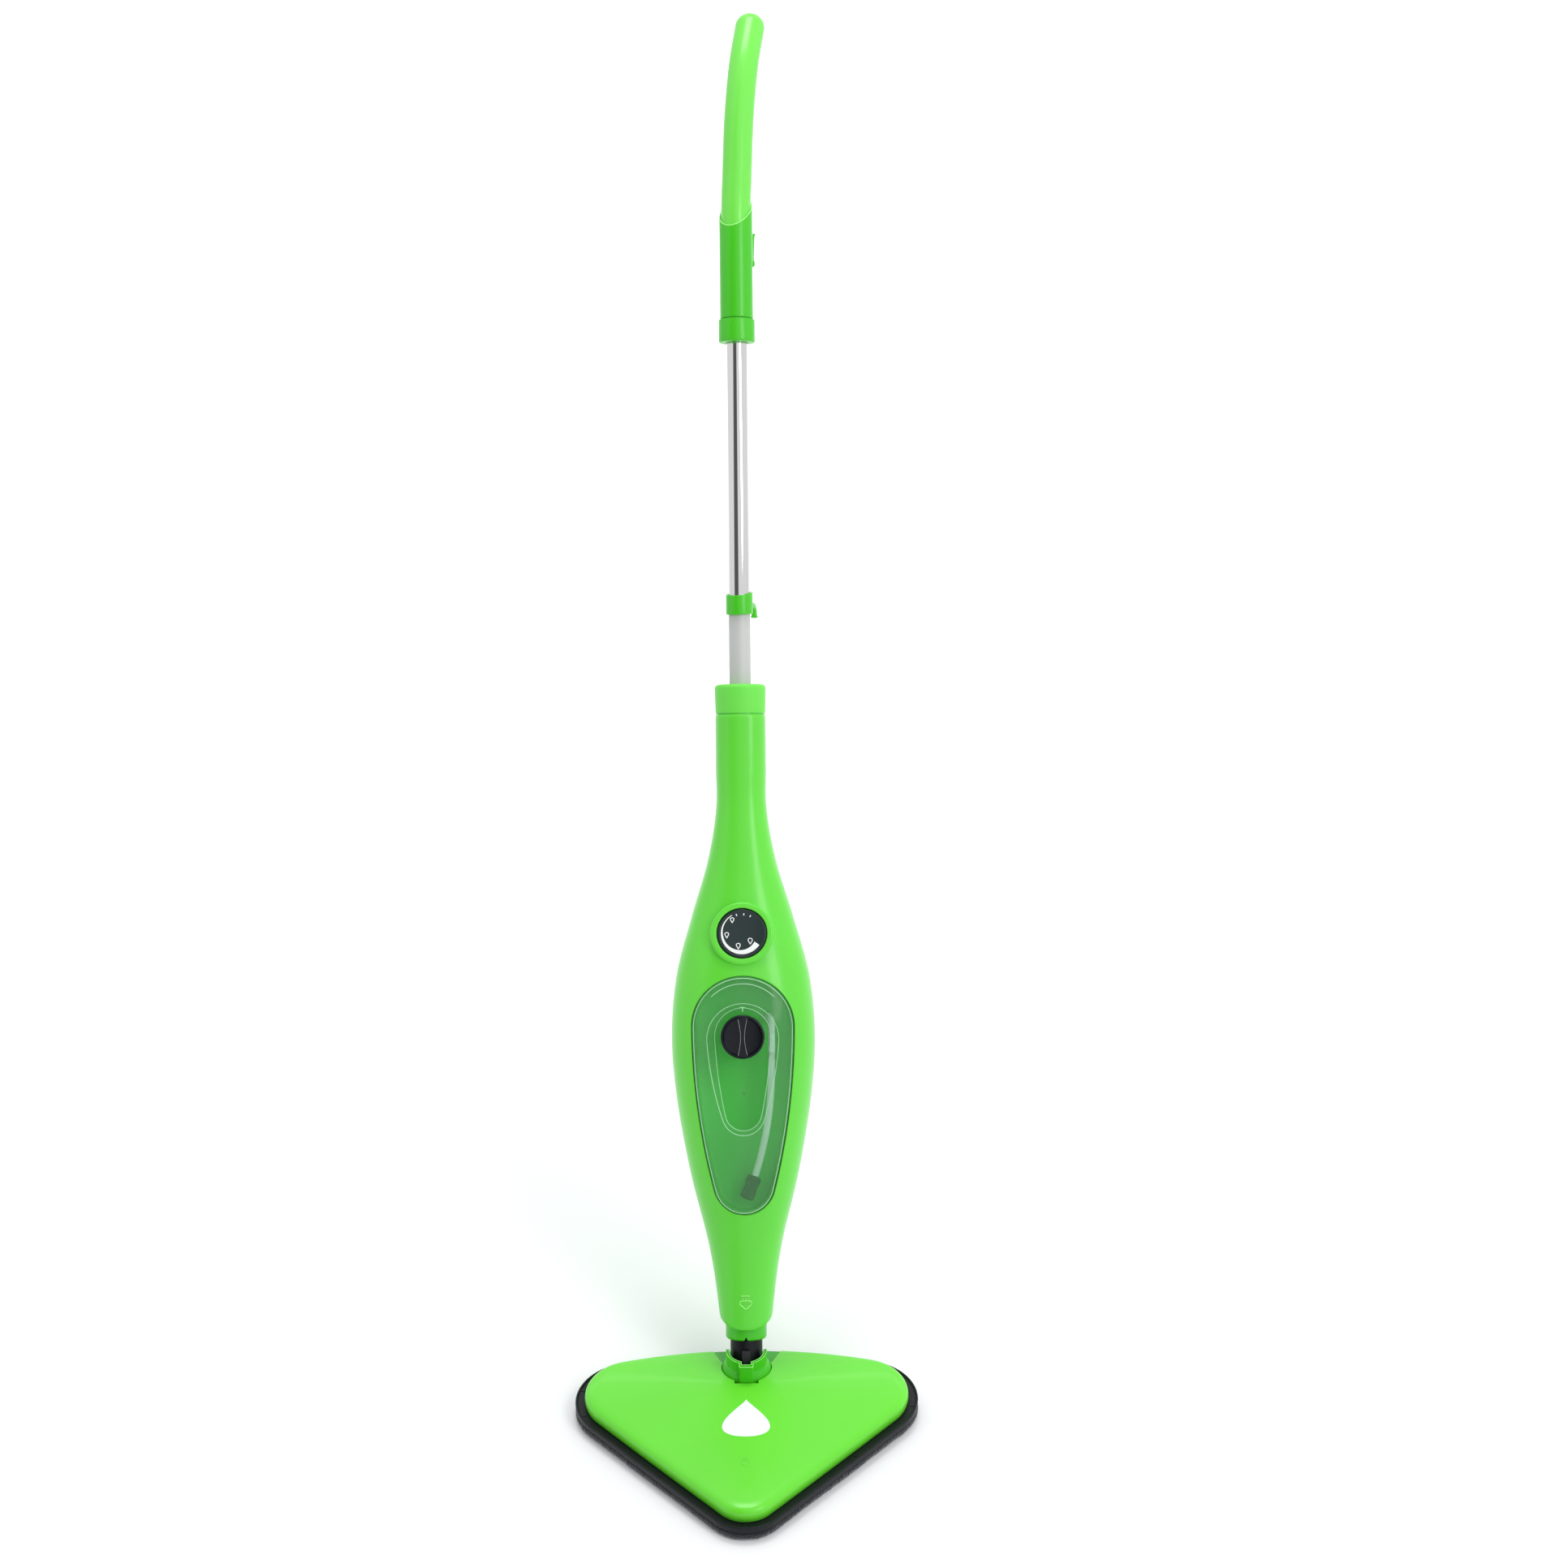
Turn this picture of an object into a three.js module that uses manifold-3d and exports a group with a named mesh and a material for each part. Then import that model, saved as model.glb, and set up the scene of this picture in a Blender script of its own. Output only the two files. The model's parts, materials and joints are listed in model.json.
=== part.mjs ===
// Steam mop: triangular head, main unit with a water tank, two-piece pole and curved handle.
// Millimetres, +Z up, front of the mop towards -Y. The origin is on the floor, under the tilt pivot.
import * as THREE from 'three';
import { mergeVertices } from 'three/addons/utils/BufferGeometryUtils.js';
import Module from 'manifold-3d';

const wasm = await Module();
wasm.setup();

// ---------------------------------------------------------------- driving dimensions
const GAP = 0.3;                       // clearance between touching pieces
const LEAN = THREE.MathUtils.degToRad(29);         // the stick leans back from upright at rest
const TILT_FULL = THREE.MathUtils.degToRad(60);    // lean at the back stop
const SWIVEL = THREE.MathUtils.degToRad(25);       // sideways swing each way
const HANDLE_TURN = THREE.MathUtils.degToRad(20);  // poles and handle are turned on the unit
const PIVOT_Z = 25.5;                  // tilt and swivel axes above the floor

// head outline: corner circles [x, y, radius] and how far the side after each bows out, in degrees
const HEAD_CORNERS = [[98, -22.5, 49, 15], [-98, -22.5, 49, 0.5], [0, -145, 35.5, 0.5]];
const PAD_TOP = 7.7;
const PLATE_BOTTOM = 8;
const PLATE_FLOOR = 10.5;
const PLATE_TOP = 14;
const PLATE_RIM = 16;                  // width of the thick rim of the base plate
const COVER_INSET = 7;
const COVER_WALL = 2.5;
const COVER_LEVELS = [[0, 14.3], [0, 20], [1.2, 22.4], [4.4, 24.4], [9.5, 25.6]];   // inset, height
const COVER_DOME = [[0.76, 27.6], [0.48, 29.6], [0.2, 30.8]];                      // scale, height
const DOME_CENTRE = new THREE.Vector2(0, -30);
const RECESS_FLOOR = 20;               // channel behind the swivel collar
const RECESS_FRONT = { half: 22, y: 8 };
const RECESS_REAR = { half: 42, y: 60 };
const HEAD_SCREWS = [[82, -12], [-82, -12], [0, -128]];
const SCREW_R = 1.5;
const BOSS_R = 4;
const PIN_BLOCK = { half: 7, y0: -36, y1: -23.5, top: 28.2 };      // carries the swivel pin
const CHAMBER = { half: 30, y0: -108, y1: -44, top: 17, wall: 2 };   // steam chamber over the pad
const DIFFUSER_TOP = 9.9;
const SLOTS = 6;
const SLOT_PITCH = 9;
const SLOT_HALF = 20;
const SLOT_WIDE = 3;

// joint parts
const BALL_R = 21.3;
const BALL_SEAT_R = 22;
const CRADLE_R = 17.6;
const CRADLE_TOP = 22;
const CRADLE_BACK = { y: 2, z: 7 };    // the cradle is open behind this
const CRADLE_BORE_R = 14.6;
const NECK_R = 13.8;
const SPIGOT_R = 13;
const SPIGOT_Z = 28.5;                 // where the neck enters the nozzle collar
const NECK_TOP = 60;
const KEEL = 10.8;                     // depth of the collar's underside below the axes
const PIN_R = 2.5;
const KEY_HALF = 3.5;
const KEY_OUT = 17.6;
const KEY_BOTTOM = 9.2;
const KEY_TOP = 20.3;
const LUG_HALF = 6.3;                  // front lug of the collar, round the key notch
const LUG_OUT = 22.3;
const LUG_SWING_R = 11.7;              // room in the head for the lug as the collar rocks
const NECK_SEAL = { z: 50, ring: 13.1, cord: 1.15 };

// main unit sections: height along the stick, half width, half depth
const UNIT_SECTIONS = [
  [565.3, 21.7, 21.7], [520, 21.7, 21.7], [486, 21.8, 21.8], [442, 29, 26], [392, 43.8, 34.5],
  [342, 57.2, 43], [291, 61.8, 48], [241, 58.6, 48], [174, 47.2, 42], [106, 30.8, 31],
  [56, 23.6, 24.5], [20, 21, 22],
];
const UNIT_STEPS = 17;
const UNIT_SIDES = 32;
const UNIT_POWER = 2.25;               // roundness of a section: 2 is an ellipse
const SHELL = 2.5;
const CHIN_Z = 39;                     // lowest point of the front housing
const CHIN_SLOPE = THREE.MathUtils.degToRad(31);
const NOZZLE_R = 17.6;
const NOZZLE_BORE_R = 14.5;
const NOZZLE_BOTTOM = 28.2;
const NOZZLE_TOP = 76;
const NOTCH = { half: 2.1, height: 3.4 };   // in the front of the nozzle collar's lower edge
const UNIT_SCREWS = [[0, 470], [20, 418], [-20, 418], [16, 112], [-16, 112]];
const GLAND = { z: 500, radius: 6.4 };

// tank window: two circles [x, z, radius] and the bow of the side after each, in degrees
const WINDOW = [[0, 298.9, 44, 7], [0, 165.6, 26.6, 7]];
const PLATEAU = [[0, 289.1, 30.9, 7], [0, 226.2, 18.7, 7]];
const LENS = 3.4;
const PLATEAU_STEP = 1.2;
const TANK_BACK_Y = -12;
const TANK_WALL = 2;
const CAP_Z = 292.2;
const CAP_KNOB_R = 18.5;
const CAP_STOPPER_R = 12.6;
const CAP_FACE_Y = -56;
const CAP_SEAT_Y = -47.6;
const KNOB_DISH = 4;
const GRIP_BAR = { half: 4.6, waist: 1.2, reach: 17 };
const OUTLET = { x: 22, z: 306 };

// dial
const DIAL_Z = 372.1;
const DIAL_TILT = THREE.MathUtils.degToRad(10);
const DIAL_R = 21;
const DIAL_FACE = 39.6;                // distance of the dial's face from the stick's axis
const DIAL_THICK = 7;
const BEZEL_R = 26.9;

// inside the unit
const BOARD_Y = 6;
const BOILER = { r: 19.5, y: 13.5, z0: 168, z1: 262 };
const PUMP = { r: 16, y: 15, z0: 282, z1: 342 };

// poles and handle, heights along the stick
const POLE_R = 9.3;
const POLE_WALL = 1.2;
const CAP_BOTTOM = 566.5;
const CAP_TOP = 591.5;
const POLE_FOOT = 512;
const POLE_JOINT = 660;
const CLIP_BOTTOM = 651.2;
const CLIP_TOP = 672.7;
const CLIP_R = 11.6;
const CLIP_DIP = 5;
const CLIP_SIDES = 36;
const RING_BOTTOM = 886.2;
const RING_TOP = 905.8;
const RING_R = 15.75;
const SLEEVE_R = 14.35;
const SLEEVE_TOP = 1000;
const UPPER_POLE_TOP = 962;
const GRIP_R = 13;
const GRIP_FOOT = 972;
const GRIP_LINE = [[GRIP_FOOT, 0], [1000, 0.6], [1031, 4], [1083, 10.5], [1131, 23], [1167, 39]];
const HOOK_REACH = 39;
const HOOK_THICK = 5;
const HOOK_WIDE = 9;
const CLIP_HOOK = { foot: 664, toe: 648 };
const SLEEVE_HOOK = { foot: 959, toe: 987 };
const SLEEVE_SLANT = 46;               // degrees, slope of the sleeve's top edge
const BUTTON_TURN = THREE.MathUtils.degToRad(58);  // from the handle's back, about the pole
const BUTTON_Z = 955;
const BUTTON_R = 3;
const BUTTON_FOOT = 3;
const LEAF = { wide: 6, thick: 0.8, length: 26 };

// ---------------------------------------------------------------- materials
function plastic(colour, roughness) {
  return new THREE.MeshStandardMaterial({ color: colour, roughness, metalness: 0 });
}
function metal(colour, roughness) {
  return new THREE.MeshStandardMaterial({ color: colour, roughness, metalness: 1 });
}
const LIME_GLOSS = plastic(0x6fe046, 0.28);
const LIME_MATTE = plastic(0x79e85c, 0.55);
const LIME_DEEP = plastic(0x48c32a, 0.35);
const BLACK = plastic(0x14191b, 0.45);
const BLACK_GLOSS = plastic(0x1f2a33, 0.12);
const PAD_CLOTH = plastic(0x34373d, 0.95);
const CLEAR_GREEN = plastic(0x7fc48a, 0.08);
const TANK_GREEN = plastic(0x4fae57, 0.3);
const HOSE_CLEAR = plastic(0xa9d3b9, 0.3);
const RUBBER = plastic(0x202020, 0.8);
const WHITE = plastic(0xe6e6e0, 0.5);
const BOARD = plastic(0x1d6b3a, 0.5);
const CHROME = metal(0xd8d8d8, 0.08);
const SATIN = metal(0xcececc, 0.35);
const STEEL = metal(0xb8b8b5, 0.3);
const ALUMINIUM = metal(0xa8abad, 0.45);

// ---------------------------------------------------------------- solids
function solid(geometry) {
  const bare = geometry.index ? geometry.clone() : mergeVertices(geometry);
  bare.deleteAttribute('normal');
  bare.deleteAttribute('uv');
  const merged = mergeVertices(bare, 1e-4);
  const triVerts = new Uint32Array(merged.index.array);
  const vertProperties = new Float32Array(merged.attributes.position.array);
  const result = new wasm.Manifold(new wasm.Mesh({ numProp: 3, vertProperties, triVerts }));
  if (result.volume() > 0) return result;
  const turned = new wasm.Mesh({ numProp: 3, vertProperties, triVerts: triVerts.reverse() });
  return new wasm.Manifold(turned);
}

function surface(manifold) {
  const mesh = manifold.getMesh();
  const geometry = new THREE.BufferGeometry();
  geometry.setAttribute('position', new THREE.BufferAttribute(new Float32Array(mesh.vertProperties), 3));
  geometry.setIndex(new THREE.BufferAttribute(new Uint32Array(mesh.triVerts), 1));
  return geometry;
}

// A closed skin over rings of equal point count; rings run counter-clockwise, from low to high.
function skin(rings) {
  const count = rings[0].length;
  const positions = rings.flat().flatMap((p) => [p.x, p.y, p.z]);
  const index = [];
  for (let r = 0; r < rings.length - 1; r += 1) {
    for (let i = 0; i < count; i += 1) {
      const a = r * count + i;
      const b = r * count + (i + 1) % count;
      index.push(a, b, b + count, a, b + count, a + count);
    }
  }
  const ends = [rings[0], rings[rings.length - 1]];
  ends.forEach((ring, end) => {
    const centre = new THREE.Vector3();
    ring.forEach((p) => centre.addScaledVector(p, 1 / count));
    const hub = positions.length / 3;
    positions.push(centre.x, centre.y, centre.z);
    const base = end === 0 ? 0 : (rings.length - 1) * count;
    for (let i = 0; i < count; i += 1) {
      const a = base + i;
      const b = base + (i + 1) % count;
      if (end === 0) index.push(hub, b, a);
      else index.push(hub, a, b);
    }
  });
  const geometry = new THREE.BufferGeometry();
  geometry.setAttribute('position', new THREE.Float32BufferAttribute(positions, 3));
  geometry.setIndex(index);
  return solid(geometry);
}

function box(x0, x1, y0, y1, z0, z1) {
  const geometry = new THREE.BoxGeometry(x1 - x0, y1 - y0, z1 - z0);
  geometry.translate((x0 + x1) / 2, (y0 + y1) / 2, (z0 + z1) / 2);
  return solid(geometry);
}

function cylinder(radius, z0, z1, x = 0, y = 0, sides = 28) {
  const geometry = new THREE.CylinderGeometry(radius, radius, z1 - z0, sides);
  geometry.rotateX(Math.PI / 2);
  geometry.translate(x, y, (z0 + z1) / 2);
  return solid(geometry);
}

// A cylinder along X or Y.
function cross(axis, radius, from, to, centre, sides = 24) {
  const geometry = new THREE.CylinderGeometry(radius, radius, to - from, sides);
  if (axis === 'x') geometry.rotateZ(Math.PI / 2);
  const middle = new THREE.Vector3(...centre);
  middle[axis] = (from + to) / 2;
  geometry.translate(middle.x, middle.y, middle.z);
  return solid(geometry);
}

function sphere(radius, z = 0) {
  const geometry = new THREE.SphereGeometry(radius, 28, 12);
  geometry.rotateX(Math.PI / 2);
  geometry.translate(0, 0, z);
  return solid(geometry);
}

function tube(outer, inner, z0, z1, x = 0, y = 0) {
  return cylinder(outer, z0, z1, x, y).subtract(cylinder(inner, z0 - 1, z1 + 1, x, y));
}

function lathe(profile, sides = 30) {
  const geometry = new THREE.LatheGeometry(profile.map(([r, z]) => new THREE.Vector2(r, z)), sides);
  geometry.rotateX(Math.PI / 2);
  return solid(geometry);
}

function hose(points, radius, steps) {
  const path = new THREE.CatmullRomCurve3(points.map((p) => new THREE.Vector3(...p)));
  const section = new THREE.Shape();
  section.absarc(0, 0, radius, 0, Math.PI * 2);
  const geometry = new THREE.ExtrudeGeometry(section, { steps, curveSegments: 6, extrudePath: path });
  return solid(geometry);
}

// Outline round a ring of circles (counter-clockwise), joined by bowed sides.
function roundOutline(circles, inset) {
  const shape = new THREE.Shape();
  const unit = (angle) => new THREE.Vector2(Math.cos(angle), Math.sin(angle));
  const corners = circles.map(([x, y, r, bow]) => (
    { centre: new THREE.Vector2(x, y), r: r - inset, bow: THREE.MathUtils.degToRad(bow) }
  ));
  const normals = corners.map((corner, i) => {
    const next = corners[(i + 1) % corners.length];
    const side = next.centre.clone().sub(corner.centre);
    return side.angle() - Math.acos((corner.r - next.r) / side.length());
  });
  corners.forEach((corner, i) => {
    const last = (i + corners.length - 1) % corners.length;
    const before = normals[last] + corners[last].bow;
    const after = normals[i] - corner.bow;
    const sweep = THREE.MathUtils.euclideanModulo(after - before, Math.PI * 2);
    shape.absarc(corner.centre.x, corner.centre.y, corner.r, before, before + sweep, false);
    const next = corners[(i + 1) % corners.length];
    const leave = unit(after);
    const arrive = unit(normals[i] + corner.bow);
    const from = corner.centre.clone().addScaledVector(leave, corner.r);
    const to = next.centre.clone().addScaledVector(arrive, next.r);
    const tangent = new THREE.Vector2(-leave.y, leave.x);
    const reach = arrive.dot(to.clone().sub(from)) / arrive.dot(tangent);
    const control = from.clone().addScaledVector(tangent, reach);
    shape.quadraticCurveTo(control.x, control.y, to.x, to.y);
  });
  return shape;
}

function outlineRing(shape, z, divisions) {
  const points = shape.getPoints(divisions);
  const ring = points.filter((p, i) => i === 0 || p.distanceTo(points[i - 1]) > 1e-6);
  if (ring[0].distanceTo(ring[ring.length - 1]) < 1e-6) ring.pop();
  return ring.map((p) => new THREE.Vector3(p.x, p.y, z));
}

// A prism of an outline drawn in X and Z, running from y0 back to y1.
function frontPrism(shape, y0, y1) {
  const options = { depth: y1 - y0, bevelEnabled: false, curveSegments: 5 };
  const geometry = new THREE.ExtrudeGeometry(shape, options);
  geometry.rotateX(Math.PI / 2);
  geometry.translate(0, y1, 0);
  return solid(geometry);
}

const root = new THREE.Group();
const stick = new THREE.Group();
stick.position.set(0, 0, PIVOT_Z);
stick.rotation.x = -LEAN;
const head = new THREE.Group();
const handle = new THREE.Group();
handle.rotation.z = -HANDLE_TURN;
root.add(head, stick);
stick.add(handle);

function add(group, name, manifold, material) {
  const mesh = new THREE.Mesh(surface(manifold), material);
  mesh.name = name;
  group.add(mesh);
  return mesh;
}

// ---------------------------------------------------------------- head
function headOutline(inset) {
  return roundOutline(HEAD_CORNERS, inset);
}

function headPrism(inset, z0, z1) {
  const options = { depth: z1 - z0, bevelEnabled: false, curveSegments: 5 };
  const geometry = new THREE.ExtrudeGeometry(headOutline(inset), options);
  geometry.translate(0, 0, z0);
  return solid(geometry);
}

// Domed block under the cover's skin; offset shrinks it evenly.
function dome(offset, divisions = 5) {
  const rings = COVER_LEVELS.map(([inset, z]) => {
    return outlineRing(headOutline(COVER_INSET + inset + offset), z - offset, divisions);
  });
  const last = rings[rings.length - 1];
  COVER_DOME.forEach(([scale, z]) => {
    rings.push(last.map((p) => new THREE.Vector3(
      DOME_CENTRE.x + (p.x - DOME_CENTRE.x) * scale,
      DOME_CENTRE.y + (p.y - DOME_CENTRE.y) * scale,
      z - offset,
    )));
  });
  return skin(rings);
}

// Channel behind the swivel collar, which lets the neck lean back; grow widens it.
function recess(grow) {
  const shape = new THREE.Shape();
  shape.moveTo(-RECESS_FRONT.half - grow, RECESS_FRONT.y - grow);
  shape.lineTo(RECESS_FRONT.half + grow, RECESS_FRONT.y - grow);
  shape.lineTo(RECESS_REAR.half + grow, RECESS_REAR.y);
  shape.lineTo(-RECESS_REAR.half - grow, RECESS_REAR.y);
  shape.closePath();
  const geometry = new THREE.ExtrudeGeometry(shape, { depth: 40, bevelEnabled: false });
  geometry.translate(0, 0, RECESS_FLOOR - grow);
  return solid(geometry);
}

function coverBoss([x, y]) {
  const foot = cylinder(BOSS_R, PLATE_FLOOR + GAP, 18, x, y, 16);
  const crown = cylinder(BOSS_R, 17, 40, x, y, 16).intersect(dome(1, 3));
  return foot.add(crown).subtract(cylinder(SCREW_R + 0.2, 0, 21, x, y, 12));
}

let cover = dome(0).subtract(recess(0));
cover = cover.subtract(dome(COVER_WALL, 3).subtract(recess(COVER_WALL)));
HEAD_SCREWS.forEach((site) => {
  cover = cover.add(coverBoss(site));
});
cover = cover.subtract(sphere(BALL_SEAT_R, PIVOT_Z)).subtract(cylinder(BALL_SEAT_R, 0, PIVOT_Z));
cover = cover.subtract(cross('y', LUG_SWING_R, -LUG_OUT - 0.8, 0, [0, 0, PIVOT_Z]));
const pinHalf = PIN_BLOCK.half;
cover = cover.subtract(box(-pinHalf - GAP, pinHalf + GAP, PIN_BLOCK.y0 - GAP, -20, 0, PIN_BLOCK.top + GAP));
add(head, 'head_cover', cover, LIME_GLOSS);

const chamberHole = {
  half: CHAMBER.half - CHAMBER.wall,
  y0: CHAMBER.y0 + CHAMBER.wall,
  y1: CHAMBER.y1 - CHAMBER.wall,
  top: CHAMBER.top - CHAMBER.wall,
};
let plate = headPrism(0.6, PLATE_BOTTOM, PLATE_TOP);
plate = plate.subtract(headPrism(PLATE_RIM, PLATE_FLOOR, PLATE_TOP + 1));
plate = plate.add(box(-CHAMBER.half, CHAMBER.half, CHAMBER.y0, CHAMBER.y1, PLATE_BOTTOM, CHAMBER.top));
plate = plate.subtract(box(
  -chamberHole.half, chamberHole.half, chamberHole.y0, chamberHole.y1, 0, chamberHole.top,
));
plate = plate.add(box(-pinHalf, pinHalf, PIN_BLOCK.y0, PIN_BLOCK.y1, PLATE_BOTTOM, PIN_BLOCK.top));
plate = plate.subtract(cross('y', PIN_R + 0.05, PIN_BLOCK.y0 - 1, PIN_BLOCK.y1 + 1, [0, 0, PIVOT_Z]));
plate = plate.subtract(sphere(NECK_R + 0.7, PIVOT_Z));
HEAD_SCREWS.forEach(([x, y]) => {
  plate = plate.subtract(cylinder(SCREW_R + 0.2, 0, 20, x, y, 12));
});
add(head, 'base_plate', plate, BLACK);

const diffuserHalf = chamberHole.half - GAP;
let diffuser = box(
  -diffuserHalf, diffuserHalf, chamberHole.y0 + GAP, chamberHole.y1 - GAP, PLATE_BOTTOM, DIFFUSER_TOP,
);
for (let i = 0; i < SLOTS; i += 1) {
  const y = chamberHole.y0 + 6 + i * SLOT_PITCH;
  diffuser = diffuser.subtract(box(-SLOT_HALF, SLOT_HALF, y, y + SLOT_WIDE, 0, 20));
}
add(head, 'steam_diffuser', diffuser, RUBBER);

HEAD_SCREWS.forEach(([x, y], i) => {
  const shank = cylinder(SCREW_R, PLATE_BOTTOM - 0.05, 20, x, y, 12);
  add(head, `head_screw_${i + 1}`, shank, STEEL);
});

const pad = headPrism(0, 0, PAD_TOP);
add(head, 'mop_pad', pad, PAD_CLOTH);

add(head, 'swivel_pin', cross('y', PIN_R, PIN_BLOCK.y0 + 0.5, -17.4, [0, 0, PIVOT_Z]), STEEL);

// ---------------------------------------------------------------- swivel collar, in the head's frame
function tilted(manifold, angle) {
  const degrees = THREE.MathUtils.radToDeg(angle);
  return manifold.rotate([-degrees, 0, 0]);
}

function neckSweep(radius) {
  let sweep = sphere(radius);
  const steps = 5;
  for (let i = 0; i <= steps; i += 1) {
    sweep = sweep.add(tilted(cylinder(radius, 0, 60), (TILT_FULL * i) / steps));
  }
  return sweep;
}

let collar = sphere(BALL_R);
collar = collar.intersect(box(-40, 40, -40, 16, -40, 40));
collar = collar.add(cylinder(CRADLE_R, 0, CRADLE_TOP));
collar = collar.add(box(-LUG_HALF, LUG_HALF, -LUG_OUT, -CRADLE_R + 4, 0, CRADLE_TOP));
collar = collar.subtract(neckSweep(CRADLE_BORE_R));
collar = collar.subtract(box(-CRADLE_BORE_R, CRADLE_BORE_R, 4, 40, 0, 40));
collar = collar.subtract(box(-40, 40, CRADLE_BACK.y, 40, CRADLE_BACK.z, 40));
collar = collar.subtract(box(-KEY_HALF - 0.7, KEY_HALF + 0.7, -KEY_OUT - 0.7, 0, KEY_BOTTOM - 1.5, 40));
collar = collar.subtract(cross('y', PIN_R + 0.05, -60, -17, [0, 0, 0]));
collar = collar.subtract(cross('x', PIN_R + 0.05, -17.6, 17.6, [0, 0, 0]));
[-1, 0, 1].forEach((side) => {
  const keel = box(-60, 60, -60, 60, -60, -KEEL);
  collar = collar.subtract(keel.rotate([0, THREE.MathUtils.radToDeg(SWIVEL) * side, 0]));
});
const collarMesh = add(root, 'swivel_collar', collar, LIME_DEEP);
collarMesh.position.set(0, 0, PIVOT_Z);

[['left', -1], ['right', 1]].forEach(([name, side]) => {
  const ends = [side * 8.5, side * 17.3].sort((a, b) => a - b);
  const pin = add(root, `tilt_pin_${name}`, cross('x', PIN_R, ends[0], ends[1], [0, 0, 0]), STEEL);
  pin.position.set(0, 0, PIVOT_Z);
});

// ---------------------------------------------------------------- neck, in the stick's frame
let neck = sphere(NECK_R).add(cylinder(NECK_R, 0, SPIGOT_Z - GAP));
neck = neck.add(cylinder(SPIGOT_R, 0, NECK_TOP));
neck = neck.add(box(-KEY_HALF, KEY_HALF, -KEY_OUT, -10, KEY_BOTTOM, KEY_TOP));
neck = neck.subtract(tube(20, NECK_SEAL.ring - NECK_SEAL.cord - 0.3, NECK_SEAL.z - 1.5, NECK_SEAL.z + 1.5));
neck = neck.subtract(cylinder(6.3, -NECK_R - 1, NECK_TOP + 1, 0, 0, 24));
neck = neck.subtract(cross('x', PIN_R + 0.05, -20, 20, [0, 0, 0]));
add(stick, 'neck', neck, BLACK);
add(stick, 'neck_steam_hose', tube(5.6, 3.4, 5, 72), RUBBER);

const sealGeometry = new THREE.TorusGeometry(NECK_SEAL.ring, NECK_SEAL.cord, 6, 28);
sealGeometry.translate(0, 0, NECK_SEAL.z);
add(stick, 'nozzle_seal', solid(sealGeometry), RUBBER);

// ---------------------------------------------------------------- main unit housing
const unitSpine = new THREE.CatmullRomCurve3(UNIT_SECTIONS.map(([z, w, d]) => new THREE.Vector3(w, d, z)));

function unitRing({ x: halfWidth, y: halfDepth, z }, offset, sides) {
  const ring = [];
  for (let i = 0; i < sides; i += 1) {
    const angle = (i / sides) * Math.PI * 2;
    const cos = Math.cos(angle);
    const sin = Math.sin(angle);
    ring.push(new THREE.Vector3(
      Math.sign(cos) * Math.abs(cos) ** (2 / UNIT_POWER) * (halfWidth + offset),
      Math.sign(sin) * Math.abs(sin) ** (2 / UNIT_POWER) * (halfDepth + offset),
      z,
    ));
  }
  return ring;
}

function unitBlock(offset, steps = UNIT_STEPS, sides = UNIT_SIDES) {
  const stations = unitSpine.getPoints(steps).reverse();
  return skin(stations.map((station) => unitRing(station, offset, sides)));
}

// Half depth of the unit's front at a height, found along the spine.
function unitDepth(z) {
  const stations = unitSpine.getPoints(200);
  return stations.reduce((a, b) => (Math.abs(a.z - z) < Math.abs(b.z - z) ? a : b)).y;
}

const outer = unitBlock(0);
const inner = unitBlock(-SHELL, 10, 20);
const chinCut = box(-60, 60, -80, 80, -80, 0)
  .rotate([THREE.MathUtils.radToDeg(CHIN_SLOPE), 0, 0])
  .translate([0, -unitDepth(40), CHIN_Z]);
const boreCut = cylinder(NOZZLE_R + GAP, 0, 110);
let shell = outer.subtract(inner.intersect(box(-90, 90, -90, 90, 52, 563)));
shell = shell.subtract(chinCut).subtract(boreCut).subtract(cylinder(POLE_R + 0.6, 540, 600));

const window = frontPrism(roundOutline(WINDOW, 0), -90, 0);
const dialTurn = 90 - THREE.MathUtils.radToDeg(DIAL_TILT);
function onDial(manifold) {
  return manifold.rotate([dialTurn, 0, 0]).translate([0, 0, DIAL_Z]);
}

function screwBoss([x, z], y0, y1, hole) {
  const boss = cross('y', BOSS_R, y0, y1, [x, 0, z], 12).intersect(unitBlock(-1.2, 10, 20));
  return boss.subtract(cross('y', hole, -60, 60, [x, 0, z], 10));
}

let frontHousing = shell.intersect(box(-90, 90, -90, -GAP / 2, -20, 700));
const bezel = onDial(cylinder(BEZEL_R, 24, DIAL_FACE + 0.8, 0, 0, 36));
const dialWell = onDial(cylinder(DIAL_R + 0.7, DIAL_FACE - DIAL_THICK - 0.4, 90, 0, 0, 36));
frontHousing = frontHousing.add(bezel.subtract(inner.intersect(box(-90, 90, -26, 0, 0, 600))));
frontHousing = frontHousing.subtract(dialWell);
frontHousing = frontHousing.subtract(onDial(cylinder(4.2, 0, 90, 0, 0, 20)));
frontHousing = frontHousing.subtract(window);
UNIT_SCREWS.forEach((site) => {
  const boss = screwBoss(site, -60, -1, SCREW_R + 0.1).intersect(box(-90, 90, -90, -0.5, 0, 600));
  frontHousing = frontHousing.add(boss.subtract(onDial(cylinder(DIAL_R + 4, 10, 90))));
});
add(stick, 'front_housing', frontHousing, LIME_GLOSS);

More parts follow.
